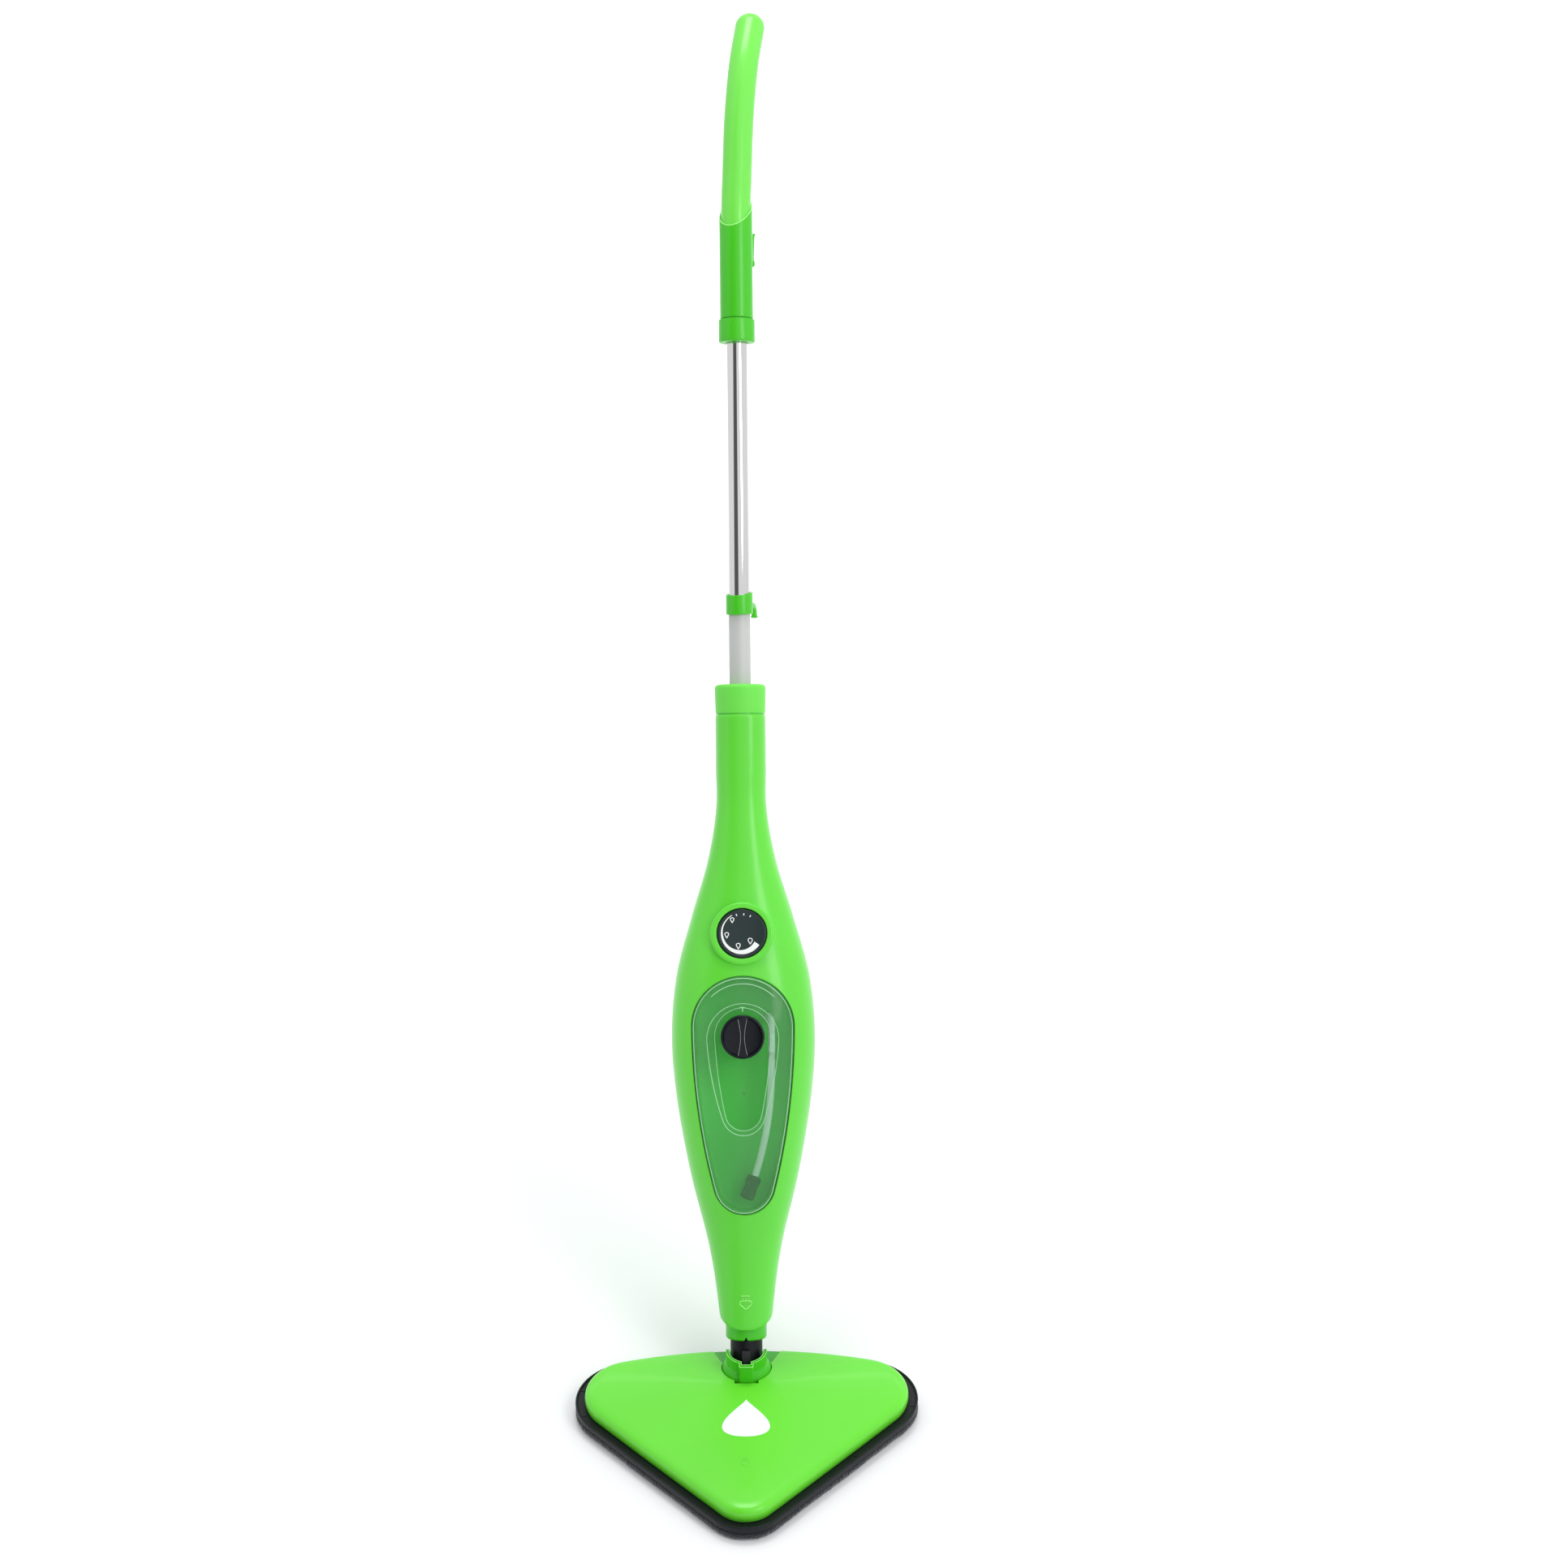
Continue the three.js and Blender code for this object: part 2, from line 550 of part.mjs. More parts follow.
let rearHousing = shell.intersect(box(-90, 90, GAP / 2, 90, -20, 700));
UNIT_SCREWS.forEach((site) => {
  const boss = screwBoss(site, 1, 60, SCREW_R + 0.2).intersect(box(-90, 90, 0.5, 90, 0, 600));
  rearHousing = rearHousing.add(boss);
  rearHousing = rearHousing.subtract(cross('y', 3, 9.1, 90, [site[0], 0, site[1]], 14));
});
rearHousing = rearHousing.subtract(cross('y', GLAND.radius + GAP, 10, 60, [0, 0, GLAND.z], 24));
add(stick, 'rear_housing', rearHousing, LIME_GLOSS);

UNIT_SCREWS.forEach(([x, z], i) => {
  const shank = cross('y', SCREW_R - 0.2, -9, 9.6, [x, 0, z], 12);
  const screwHead = cross('y', 2.7, 9.4, 11.6, [x, 0, z], 16);
  add(stick, `housing_screw_${i + 1}`, shank.add(screwHead), STEEL);
});

const gland = cross('y', GLAND.radius, 17.6, 27, [0, 0, GLAND.z], 24)
  .add(cross('y', GLAND.radius + 1.8, 22.3, 25, [0, 0, GLAND.z], 24))
  .subtract(cross('y', 3.7, 0, 60, [0, 0, GLAND.z], 20));
add(stick, 'cord_gland', gland, RUBBER);

// ---------------------------------------------------------------- nozzle collar
let nozzle = cylinder(NOZZLE_R, NOZZLE_BOTTOM, NOZZLE_TOP);
nozzle = nozzle.subtract(cylinder(NOZZLE_BORE_R, 0, NECK_TOP + 0.6));
nozzle = nozzle.subtract(cylinder(6, 0, NOZZLE_TOP + 1, 0, 0, 24));
const notch = new THREE.Shape();
notch.moveTo(-NOTCH.half, NOZZLE_BOTTOM - 1);
notch.lineTo(NOTCH.half, NOZZLE_BOTTOM - 1);
notch.lineTo(0, NOZZLE_BOTTOM + NOTCH.height);
notch.closePath();
nozzle = nozzle.subtract(frontPrism(notch, -30, 0));
add(stick, 'nozzle_collar', nozzle, LIME_DEEP);

// ---------------------------------------------------------------- water tank
const behindWindow = (inset, y0, y1) => frontPrism(roundOutline(WINDOW, inset), y0, y1);
const plateau = frontPrism(roundOutline(PLATEAU, 0), -90, 0);
let lens = behindWindow(0.35, -90, -5).intersect(outer.subtract(unitBlock(-LENS)));
lens = lens.subtract(plateau.subtract(unitBlock(-PLATEAU_STEP)));
lens = lens.subtract(cross('y', CAP_STOPPER_R + 0.6, -90, 0, [0, 0, CAP_Z], 32));
add(stick, 'water_tank_front', lens, CLEAR_GREEN);

const tankInner = unitBlock(-LENS - GAP);
let tankBack = behindWindow(0.6, -90, TANK_BACK_Y).intersect(tankInner);
tankBack = tankBack.subtract(behindWindow(0.6 + TANK_WALL, -90, TANK_BACK_Y - TANK_WALL));
tankBack = tankBack.subtract(cross('y', 3.8, -30, 0, [OUTLET.x, 0, OUTLET.z], 20));
add(stick, 'water_tank_back', tankBack, TANK_GREEN);

const spigot = cross('y', 3.5, -18, -4, [OUTLET.x, 0, OUTLET.z], 20)
  .subtract(cross('y', 1.8, -30, 0, [OUTLET.x, 0, OUTLET.z], 16));
add(stick, 'tank_outlet', spigot, WHITE);

const suctionPath = [
  [OUTLET.x, -18.4, OUTLET.z], [OUTLET.x, -22, OUTLET.z], [24, -30, 304.5], [24.4, -35, 294],
  [23.4, -36, 245], [20.2, -34.5, 216.5], [14.7, -31, 190.5], [9.4, -27.4, 172],
];
add(stick, 'suction_hose', hose(suctionPath, 2.65, 18), HOSE_CLEAR);

const weight = cylinder(6.2, -10, 10, 0, 0, 24).subtract(cylinder(1.6, 6, 12, 0, 0, 12))
  .rotate([0, 22, 0]).translate([5.2, -25.6, 161.2]);
add(stick, 'suction_weight', weight, WHITE);

// ---------------------------------------------------------------- tank cap
const stopperHollow = cross('y', CAP_STOPPER_R - 3.7, -45, -20, [0, 0, CAP_Z]);
let stopper = cross('y', CAP_STOPPER_R, CAP_SEAT_Y, -34, [0, 0, CAP_Z], 32);
stopper = stopper.subtract(stopperHollow);
stopper = stopper.subtract(cross('y', CAP_STOPPER_R + 2, -39.4, -36.6, [0, 0, CAP_Z], 32)
  .subtract(cross('y', CAP_STOPPER_R - 2.1, -39.4, -36.6, [0, 0, CAP_Z], 28)));
stopper = stopper.subtract(cross('y', 3, -60, -30, [0, 0, CAP_Z], 20));
add(stick, 'tank_cap_stopper', stopper, BLACK);

const capSeal = new THREE.TorusGeometry(CAP_STOPPER_R - 0.7, 1.05, 6, 28);
capSeal.rotateX(Math.PI / 2);
capSeal.translate(0, -38, CAP_Z);
add(stick, 'tank_cap_seal', solid(capSeal), RUBBER);

const bar = new THREE.Shape();
bar.moveTo(-GRIP_BAR.half, CAP_Z - GRIP_BAR.reach);
bar.quadraticCurveTo(-GRIP_BAR.waist, CAP_Z, -GRIP_BAR.half, CAP_Z + GRIP_BAR.reach);
bar.lineTo(GRIP_BAR.half, CAP_Z + GRIP_BAR.reach);
bar.quadraticCurveTo(GRIP_BAR.waist, CAP_Z, GRIP_BAR.half, CAP_Z - GRIP_BAR.reach);
bar.closePath();
let knob = cross('y', CAP_KNOB_R, CAP_FACE_Y, CAP_SEAT_Y - GAP, [0, 0, CAP_Z], 40);
const knobDish = cross('y', CAP_KNOB_R - 2.2, CAP_FACE_Y - 1, CAP_FACE_Y + KNOB_DISH, [0, 0, CAP_Z], 40);
knob = knob.subtract(knobDish);
knob = knob.add(frontPrism(bar, CAP_FACE_Y - 1, CAP_FACE_Y + KNOB_DISH + 1));
knob = knob.add(cross('y', 2.95, CAP_SEAT_Y - 1, -36, [0, 0, CAP_Z], 20));
add(stick, 'tank_cap_knob', knob, BLACK_GLOSS);

// ---------------------------------------------------------------- steam dial and valve
let dial = onDial(cylinder(DIAL_R, DIAL_FACE - DIAL_THICK, DIAL_FACE, 0, 0, 36));
dial = dial.add(onDial(cylinder(3.4, 20, DIAL_FACE - 1, 0, 0, 20)));
add(stick, 'steam_dial', dial, BLACK_GLOSS);
const valve = onDial(cylinder(9, 5, 23.6, 0, 0, 28).subtract(cylinder(3.6, 18, 40, 0, 0, 20)));
add(stick, 'dial_valve', valve, WHITE);
add(stick, 'control_board', box(-21, 21, BOARD_Y - 1, BOARD_Y + 1, 352, 408), BOARD);

// ---------------------------------------------------------------- boiler, pump and hoses
add(stick, 'boiler', cylinder(BOILER.r, BOILER.z0, BOILER.z1, 0, BOILER.y), ALUMINIUM);
add(stick, 'pump', cylinder(PUMP.r, PUMP.z0, PUMP.z1, 0, PUMP.y), STEEL);
add(stick, 'thermostat', cylinder(7, BOILER.z1 + GAP, BOILER.z1 + 6, 9, BOILER.y, 24), WHITE);
const fuse = cylinder(2.4, 200, 224, 0, BOILER.y + BOILER.r + 2.4 + GAP, 16);
add(stick, 'thermal_fuse', fuse, STEEL);
const inletPath = [[OUTLET.x, -3.6, OUTLET.z], [OUTLET.x, -1, OUTLET.z], [23.5, 6, 311], [22.5, 13, 332],
  [14, PUMP.y, 351], [4, PUMP.y, 353], [0, PUMP.y, 348], [0, PUMP.y, PUMP.z1 + GAP]];
add(stick, 'pump_inlet_hose', hose(inletPath, 3, 16), HOSE_CLEAR);
add(stick, 'pump_outlet_hose', cylinder(3, BOILER.z1 + GAP, PUMP.z0 - GAP, -7, 15, 16), HOSE_CLEAR);
const pipePath = [[0, BOILER.y, BOILER.z0 - GAP], [0, BOILER.y, BOILER.z0 - 6], [0, 11, 146], [0, 2, 116],
  [0, 0, 84], [0, 0, NOZZLE_TOP + GAP]];
add(stick, 'steam_pipe', hose(pipePath, 4, 14), STEEL);

// ---------------------------------------------------------------- grip end and poles
const capProfile = [[POLE_R + 0.3, CAP_BOTTOM], [21.9, CAP_BOTTOM], [22, CAP_TOP - 6], [20.6, CAP_TOP - 2],
  [17, CAP_TOP], [POLE_R + 0.3, CAP_TOP], [POLE_R + 0.3, CAP_BOTTOM]];
add(stick, 'grip_end_cap', lathe(capProfile), LIME_MATTE);
add(stick, 'pole_socket', tube(18.8, POLE_R + 0.3, 525, 562), WHITE);

// A cylinder lying along the snap button's line, between two distances from the pole's axis.
const buttonSpot = new THREE.Vector3(Math.sin(BUTTON_TURN), Math.cos(BUTTON_TURN), 0);
function radial(radius, from, to) {
  const length = to - from;
  const geometry = new THREE.CylinderGeometry(radius, radius, length, 20);
  geometry.rotateZ(-BUTTON_TURN);
  geometry.translate(buttonSpot.x * (from + to) / 2, buttonSpot.y * (from + to) / 2, BUTTON_Z);
  return solid(geometry);
}

add(handle, 'lower_pole', tube(POLE_R, POLE_R - POLE_WALL, POLE_FOOT, POLE_JOINT - GAP / 2), SATIN);
const upperPole = tube(POLE_R, POLE_R - POLE_WALL, POLE_JOINT + GAP / 2, UPPER_POLE_TOP);
add(handle, 'upper_pole', upperPole.subtract(radial(BUTTON_R + 0.25, 3, 20)), CHROME);
const jointR = POLE_R - POLE_WALL - GAP;
add(handle, 'pole_joint_insert', tube(jointR, jointR - 2, POLE_JOINT - 40, POLE_JOINT + 40), BLACK);

// A cord hook in the handle's frame: a foot going back from the pole and a toe along it.
function cordHook(foot, toe, from) {
  const half = HOOK_THICK / 2;
  const up = Math.sign(toe - foot);
  const shape = new THREE.Shape();
  shape.moveTo(from, foot - up * half);
  shape.lineTo(HOOK_REACH - 6, foot - up * half);
  shape.quadraticCurveTo(HOOK_REACH, foot - up * half, HOOK_REACH, foot + up * 4);
  shape.lineTo(HOOK_REACH, toe - up * 2);
  shape.quadraticCurveTo(HOOK_REACH, toe, HOOK_REACH - 2, toe);
  shape.quadraticCurveTo(HOOK_REACH - 4, toe, HOOK_REACH - 4.4, toe - up * 3);
  shape.lineTo(HOOK_REACH - 5, foot + up * HOOK_THICK);
  shape.quadraticCurveTo(HOOK_REACH - 5.2, foot + up * half, HOOK_REACH - 8, foot + up * half);
  shape.lineTo(from, foot + up * half);
  shape.closePath();
  const options = { depth: HOOK_WIDE, bevelEnabled: false, curveSegments: 5 };
  const geometry = new THREE.ExtrudeGeometry(shape, options);
  geometry.translate(0, 0, -HOOK_WIDE / 2);
  geometry.rotateX(Math.PI / 2);
  geometry.rotateZ(Math.PI / 2);
  return solid(geometry);
}

// A round block whose top edge dips at the front and whose bottom edge rises at the back.
function dippedBlock(radius, bottom, top, dip, sag) {
  const low = [];
  const high = [];
  for (let i = 0; i < CLIP_SIDES; i += 1) {
    const angle = (i / CLIP_SIDES) * Math.PI * 2;
    const front = (1 - Math.sin(angle)) / 2;
    const x = Math.cos(angle) * radius;
    const y = Math.sin(angle) * radius;
    low.push(new THREE.Vector3(x, y, bottom + sag * (1 - front)));
    high.push(new THREE.Vector3(x, y, top - dip * front));
  }
  return skin([low, high]);
}
let clip = dippedBlock(CLIP_R, CLIP_BOTTOM, CLIP_TOP, CLIP_DIP, 2);
clip = clip.add(cordHook(CLIP_HOOK.foot, CLIP_HOOK.toe, CLIP_R - 1.5));
clip = clip.subtract(cylinder(POLE_R + 0.15, 600, 700));
add(handle, 'cord_clip', clip, LIME_DEEP);

// ---------------------------------------------------------------- handle
const ringProfile = [[POLE_R + 0.15, RING_BOTTOM], [RING_R - 1.6, RING_BOTTOM], [RING_R, RING_BOTTOM + 1.6],
  [RING_R, RING_TOP], [POLE_R + 0.15, RING_TOP], [POLE_R + 0.15, RING_BOTTOM]];
add(handle, 'handle_ring', lathe(ringProfile), LIME_DEEP);

const slant = box(-60, 60, -60, 60, 0, 80).rotate([SLEEVE_SLANT, 0, 0]).translate([0, 0, SLEEVE_TOP]);
let sleeve = cylinder(SLEEVE_R, RING_TOP + GAP * 2, SLEEVE_TOP + 20, 0, 0, 40).subtract(slant);
sleeve = sleeve.add(cordHook(SLEEVE_HOOK.foot, SLEEVE_HOOK.toe, SLEEVE_R - 1.5));
sleeve = sleeve.subtract(radial(BUTTON_R + 0.25, 5, 40));

const gripCurve = new THREE.CatmullRomCurve3(GRIP_LINE.map(([z, back]) => new THREE.Vector3(0, back, z)));
function gripBody(radius, steps = 13, sides = 20) {
  const rings = [];
  const domeSteps = 4;
  const frameAt = (t) => {
    const tangent = gripCurve.getTangent(t);
    const side = new THREE.Vector3(1, 0, 0);
    const back = new THREE.Vector3().crossVectors(tangent, side);
    return { centre: gripCurve.getPoint(t), tangent, side, back };
  };
  const ringAt = (frame, r, along) => {
    const ring = [];
    for (let i = 0; i < sides; i += 1) {
      const angle = (i / sides) * Math.PI * 2;
      ring.push(frame.centre.clone().addScaledVector(frame.side, Math.cos(angle) * r)
        .addScaledVector(frame.back, Math.sin(angle) * r).addScaledVector(frame.tangent, along));
    }
    return ring;
  };
  for (let i = 0; i <= steps; i += 1) rings.push(ringAt(frameAt(i / steps), radius, 0));
  for (let i = 1; i < domeSteps; i += 1) {
    const lift = (i / domeSteps) * Math.PI / 2;
    rings.push(ringAt(frameAt(1), Math.cos(lift) * radius, Math.sin(lift) * radius));
  }
  return skin(rings);
}
sleeve = sleeve.subtract(cylinder(POLE_R + 0.15, 800, GRIP_FOOT - 2));
sleeve = sleeve.subtract(cylinder(GRIP_R + GAP, GRIP_FOOT - GAP, GRIP_FOOT + 4));
sleeve = sleeve.subtract(gripBody(GRIP_R + GAP));
add(handle, 'handle_sleeve', sleeve, LIME_DEEP);
const gripHollow = gripBody(GRIP_R - SHELL, 7, 12).translate([0, 0, -2.5]);
add(handle, 'handle_grip', gripBody(GRIP_R).subtract(gripHollow), LIME_GLOSS);

const button = radial(BUTTON_R, BUTTON_FOOT, SLEEVE_R + 1.8)
  .add(radial(BUTTON_R + 1.2, BUTTON_FOOT, BUTTON_FOOT + 1.8));
add(handle, 'snap_button', button, LIME_DEEP);

// Bent leaf under the button: one arm carries the button, the other leans on the pole's far side.
const leafOutline = new THREE.Shape();
leafOutline.moveTo(BUTTON_FOOT - GAP, 4);
leafOutline.lineTo(BUTTON_FOOT - GAP, -LEAF.length);
leafOutline.quadraticCurveTo(BUTTON_FOOT - GAP - 1, -LEAF.length - 3, BUTTON_FOOT - 3, -LEAF.length);
leafOutline.lineTo(-4, 2);
leafOutline.lineTo(-4 + LEAF.thick, 2);
leafOutline.lineTo(BUTTON_FOOT - 3 + LEAF.thick, -LEAF.length + 0.6);
leafOutline.lineTo(BUTTON_FOOT - GAP - LEAF.thick, -LEAF.length + 0.6);
leafOutline.lineTo(BUTTON_FOOT - GAP - LEAF.thick, 4);
leafOutline.closePath();
const leafOptions = { depth: LEAF.wide, bevelEnabled: false, curveSegments: 5 };
const leaf = new THREE.ExtrudeGeometry(leafOutline, leafOptions);
leaf.translate(0, 0, -LEAF.wide / 2);
leaf.rotateX(Math.PI / 2);
leaf.rotateZ(Math.PI / 2 - BUTTON_TURN);
leaf.translate(0, 0, BUTTON_Z);
add(handle, 'snap_spring', solid(leaf), STEEL);

export default root;
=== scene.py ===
"""Looks of a steam mop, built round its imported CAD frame. Drawn in millimetres, placed in metres."""
import json
import math

import bmesh
import bpy
import numpy as np
from mathutils import Matrix, Vector, noise


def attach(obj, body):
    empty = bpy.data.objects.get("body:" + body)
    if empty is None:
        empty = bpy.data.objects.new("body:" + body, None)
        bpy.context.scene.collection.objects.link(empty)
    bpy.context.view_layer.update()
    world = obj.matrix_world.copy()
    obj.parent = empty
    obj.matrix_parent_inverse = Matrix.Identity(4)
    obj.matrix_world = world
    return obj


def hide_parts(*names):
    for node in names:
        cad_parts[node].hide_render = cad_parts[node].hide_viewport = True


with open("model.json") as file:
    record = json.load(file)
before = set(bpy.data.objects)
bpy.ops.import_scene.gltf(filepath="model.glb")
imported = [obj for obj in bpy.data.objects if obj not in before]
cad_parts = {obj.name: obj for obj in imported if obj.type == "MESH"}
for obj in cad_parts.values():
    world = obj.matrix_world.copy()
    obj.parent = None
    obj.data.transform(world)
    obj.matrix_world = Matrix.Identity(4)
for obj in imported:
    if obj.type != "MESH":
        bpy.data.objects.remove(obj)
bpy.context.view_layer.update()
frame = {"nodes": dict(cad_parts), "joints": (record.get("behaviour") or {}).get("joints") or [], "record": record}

MM = 0.001
MERGE = 1e-4

# ---------------------------------------------------------------- frames taken from the joints
joints = {j["name"]: j for j in frame["joints"]}
pivot = Vector(joints["neck_tilt"]["pos_m"])
up = Vector(joints["cord_clip_turn"]["axis"])
front = Vector(joints["tank_cap_pull"]["axis"])
dial_out = -Vector(joints["steam_dial_turn"]["axis"])
HANDLE_TURN = math.radians(20)
RIGHT = Vector((1, 0, 0))
OUT = Vector((0, -1, 0))
RISE = Vector((0, 0, 1))


def axes(x, y, z, origin):
    m = Matrix((x, y, z)).transposed().to_4x4()
    m.translation = origin
    return m


HEAD = Matrix.Identity(4)
COLLAR = Matrix.Translation(pivot)
STICK = axes(RIGHT, -front, up, pivot)
HANDLE = STICK @ Matrix.Rotation(-HANDLE_TURN, 4, "Z")
ALONG_Y = Matrix.Rotation(math.radians(90), 4, "X")


def local(node, matrix):
    """Lowest and highest corner of a CAD node in a local frame, in millimetres."""
    points = np.array([v.co for v in frame["nodes"][node].data.vertices])
    back = np.array(matrix.inverted())
    q = (points @ back[:3, :3].T + back[:3, 3]) / MM
    return q.min(0), q.max(0)


# ---------------------------------------------------------------- curves and outlines
def spline(points, per_span):
    """Centripetal Catmull-Rom curve through the points."""
    pts = [np.array(p, float) for p in points]
    pts = [2 * pts[0] - pts[1], *pts, 2 * pts[-1] - pts[-2]]
    out = []
    for a, b, c, d in zip(pts, pts[1:], pts[2:], pts[3:]):
        d0, d1, d2 = (max(np.linalg.norm(q - p), 1e-6) ** 0.5 for p, q in ((a, b), (b, c), (c, d)))
        m1 = ((b - a) / d0 - (c - a) / (d0 + d1) + (c - b) / d1) * d1
        m2 = ((c - b) / d1 - (d - b) / (d1 + d2) + (d - c) / d2) * d1
        for t in np.linspace(0, 1, per_span, endpoint=False):
            out.append(b + m1 * t + (3 * (c - b) - 2 * m1 - m2) * t**2 + (2 * (b - c) + m1 + m2) * t**3)
    out.append(pts[-2])
    return np.array(out)


def rounded(points, closed=False, steps=5):
    """A polyline (a, b, fillet radius) with its corners rounded."""
    count = len(points)
    out = []
    for i, (x, y, r) in enumerate(points):
        here = np.array((x, y), float)
        if r <= 0 or (not closed and i in (0, count - 1)):
            out.append(here)
            continue
        a = np.array(points[i - 1][:2], float) - here
        b = np.array(points[(i + 1) % count][:2], float) - here
        a, b = a / np.linalg.norm(a), b / np.linalg.norm(b)
        half = math.acos(np.clip(a @ b, -1, 1)) / 2
        reach = r / math.tan(half)
        middle = here + (a + b) / np.linalg.norm(a + b) * (r / math.sin(half))
        start, end = here + a * reach - middle, here + b * reach - middle
        for k in range(steps + 1):
            v = start * (1 - k / steps) + end * (k / steps)
            out.append(middle + v / np.linalg.norm(v) * r)
    return np.array(out)


def heading(angle):
    return np.array((math.cos(angle), math.sin(angle)))


def full_turn(count):
    """Evenly spaced angles of a whole turn."""
    return np.linspace(0, 2 * math.pi, count, endpoint=False)


def outline(circles, inset, arc, side):
    """Points round circles (x, y, radius, bow of the next side in degrees), as many at every inset:
    arc of them on each circle and side of them on each side."""
    count = len(circles)
    centres = [np.array(c[:2], float) for c in circles]
    radii = [c[2] - inset for c in circles]
    bows = [math.radians(c[3]) for c in circles]
    normals = []
    for i in range(count):
        v = centres[(i + 1) % count] - centres[i]
        gap = np.linalg.norm(v)
        normals.append(math.atan2(v[1], v[0]) - math.acos((radii[i] - radii[(i + 1) % count]) / gap))
    out = []
    for i in range(count):
        before, after = normals[i - 1] + bows[i - 1], normals[i] - bows[i]
        sweep = (after - before) % (2 * math.pi)
        out += [centres[i] + heading(before + sweep * k / arc) * radii[i] for k in range(arc)]
        j = (i + 1) % count
        leave, arrive = heading(after), heading(normals[i] + bows[i])
        a, c = centres[i] + leave * radii[i], centres[j] + arrive * radii[j]
        tangent = np.array((-leave[1], leave[0]))
        b = a + tangent * (arrive @ (c - a)) / (arrive @ tangent)
        for t in np.linspace(0, 1, side, endpoint=False):
            out.append(a * (1 - t) ** 2 + 2 * b * t * (1 - t) + c * t**2)
    return np.array(out)


def ring(radius, z, sides=96):
    a = full_turn(sides)
    return np.column_stack((radius * np.cos(a), radius * np.sin(a), np.full(sides, float(z))))


# ---------------------------------------------------------------- meshes
def lattice(bm, rows, wrap=True, close_ends=False, loop_rows=False):
    """Faces over rows of equal point count. wrap joins each row's ends, loop_rows joins the last row
    to the first, close_ends fills the first and the last row."""
    made = [[bm.verts.new(p) for p in row] for row in rows]
    pairs = list(zip(made, made[1:])) + ([(made[-1], made[0])] if loop_rows else [])
    for low, high in pairs:
        n = len(low)
        for i in range(n if wrap else n - 1):
            j = (i + 1) % n
            bm.faces.new((low[i], low[j], high[j], high[i]))
    if close_ends:
        for row, flip in ((made[0], True), (made[-1], False)):
            hub = bm.verts.new(np.mean([v.co for v in row], axis=0))
            for i, v in enumerate(row):
                w = row[(i + 1) % len(row)]
                bm.faces.new((hub, w, v) if flip else (hub, v, w))


def lathe(bm, profile, sides=96, closed=False):
    lattice(bm, [ring(r, z, sides) for r, z in profile], close_ends=not closed, loop_rows=closed)


def prism(bm, points, low, high, bevel=0.0):
    """A block over an outline in X and Y, from low to high, with its rims bevelled."""
    bottom = [bm.verts.new((x, y, low)) for x, y in points]
    top = [bm.verts.new((x, y, high)) for x, y in points]
    caps = [bm.faces.new(bottom[::-1]), bm.faces.new(top)]
    for i in range(len(points)):
        j = (i + 1) % len(points)
        bm.faces.new((bottom[i], bottom[j], top[j], top[i]))
    if bevel:
        rims = {e for f in caps for e in f.edges}
        bmesh.ops.bevel(bm, geom=list(rims), offset=bevel, segments=3, profile=0.5, affect="EDGES")


def bead(bm, path, radius, sides=8, closed=False):
    """A thin round bar along a path."""
    pts = [Vector(p) for p in path]
    rows = []
    for i, p in enumerate(pts):
        if closed:
            t = pts[(i + 1) % len(pts)] - pts[i - 1]
        else:
            t = pts[min(i + 1, len(pts) - 1)] - pts[max(i - 1, 0)]
        q = t.to_track_quat("Z", "Y")
        rows.append([p + q @ Vector((radius * math.cos(a), radius * math.sin(a), 0))
                     for a in full_turn(sides)])
    lattice(bm, rows, close_ends=not closed, loop_rows=closed)


def clean(bm):
    bmesh.ops.remove_doubles(bm, verts=bm.verts, dist=MERGE)
    bmesh.ops.recalc_face_normals(bm, faces=bm.faces)


def to_metres(bm, name, matrix):
    """Turns a drawing in millimetres in a local frame into a mesh in metres."""
    mesh = bpy.data.meshes.new(name)
    bm.to_mesh(mesh)
    bm.free()
    mesh.transform(matrix @ Matrix.Scale(MM, 4))
    return mesh


def add_object(name, data):
    obj = bpy.data.objects.new(name, data)
    bpy.context.scene.collection.objects.link(obj)
    return obj


def shade(mesh, sharp):
    mesh.polygons.foreach_set("use_smooth", [True] * len(mesh.polygons))
    mesh.set_sharp_from_angle(angle=math.radians(sharp))


def piece(name, bm, matrix, body, slot, nodes=(), sharp=40, look=None):
    """Places a drawing, gives it its finish and lets it ride on its body. look is shown in place of the
    slot's own finish."""
    clean(bm)
    mesh = to_metres(bm, name, matrix)
    obj = add_object(name, mesh)
    mesh.materials.append(look or finish[slot])
    shade(mesh, sharp)
    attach(obj, body)
    if nodes:
        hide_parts(*nodes)
    return obj


def turned_piece(name, corners, matrix, body, slot, nodes=(), sides=128, steps=5, closed=True):
    """A piece turned on a lathe from the corners (radius, height, fillet) of its section."""
    bm = bmesh.new()
    lathe(bm, rounded(corners, closed, steps), sides, closed)
    return piece(name, bm, matrix, body, slot, nodes)


def mark_faces(mesh, test):
    """Marks the faces whose centre and normal pass a test, in millimetres, for the finishes to use."""
    layer = mesh.attributes.new("marked", "FLOAT", "FACE")
    layer.data.foreach_set("value", [float(test(p.center / MM, p.normal)) for p in mesh.polygons])


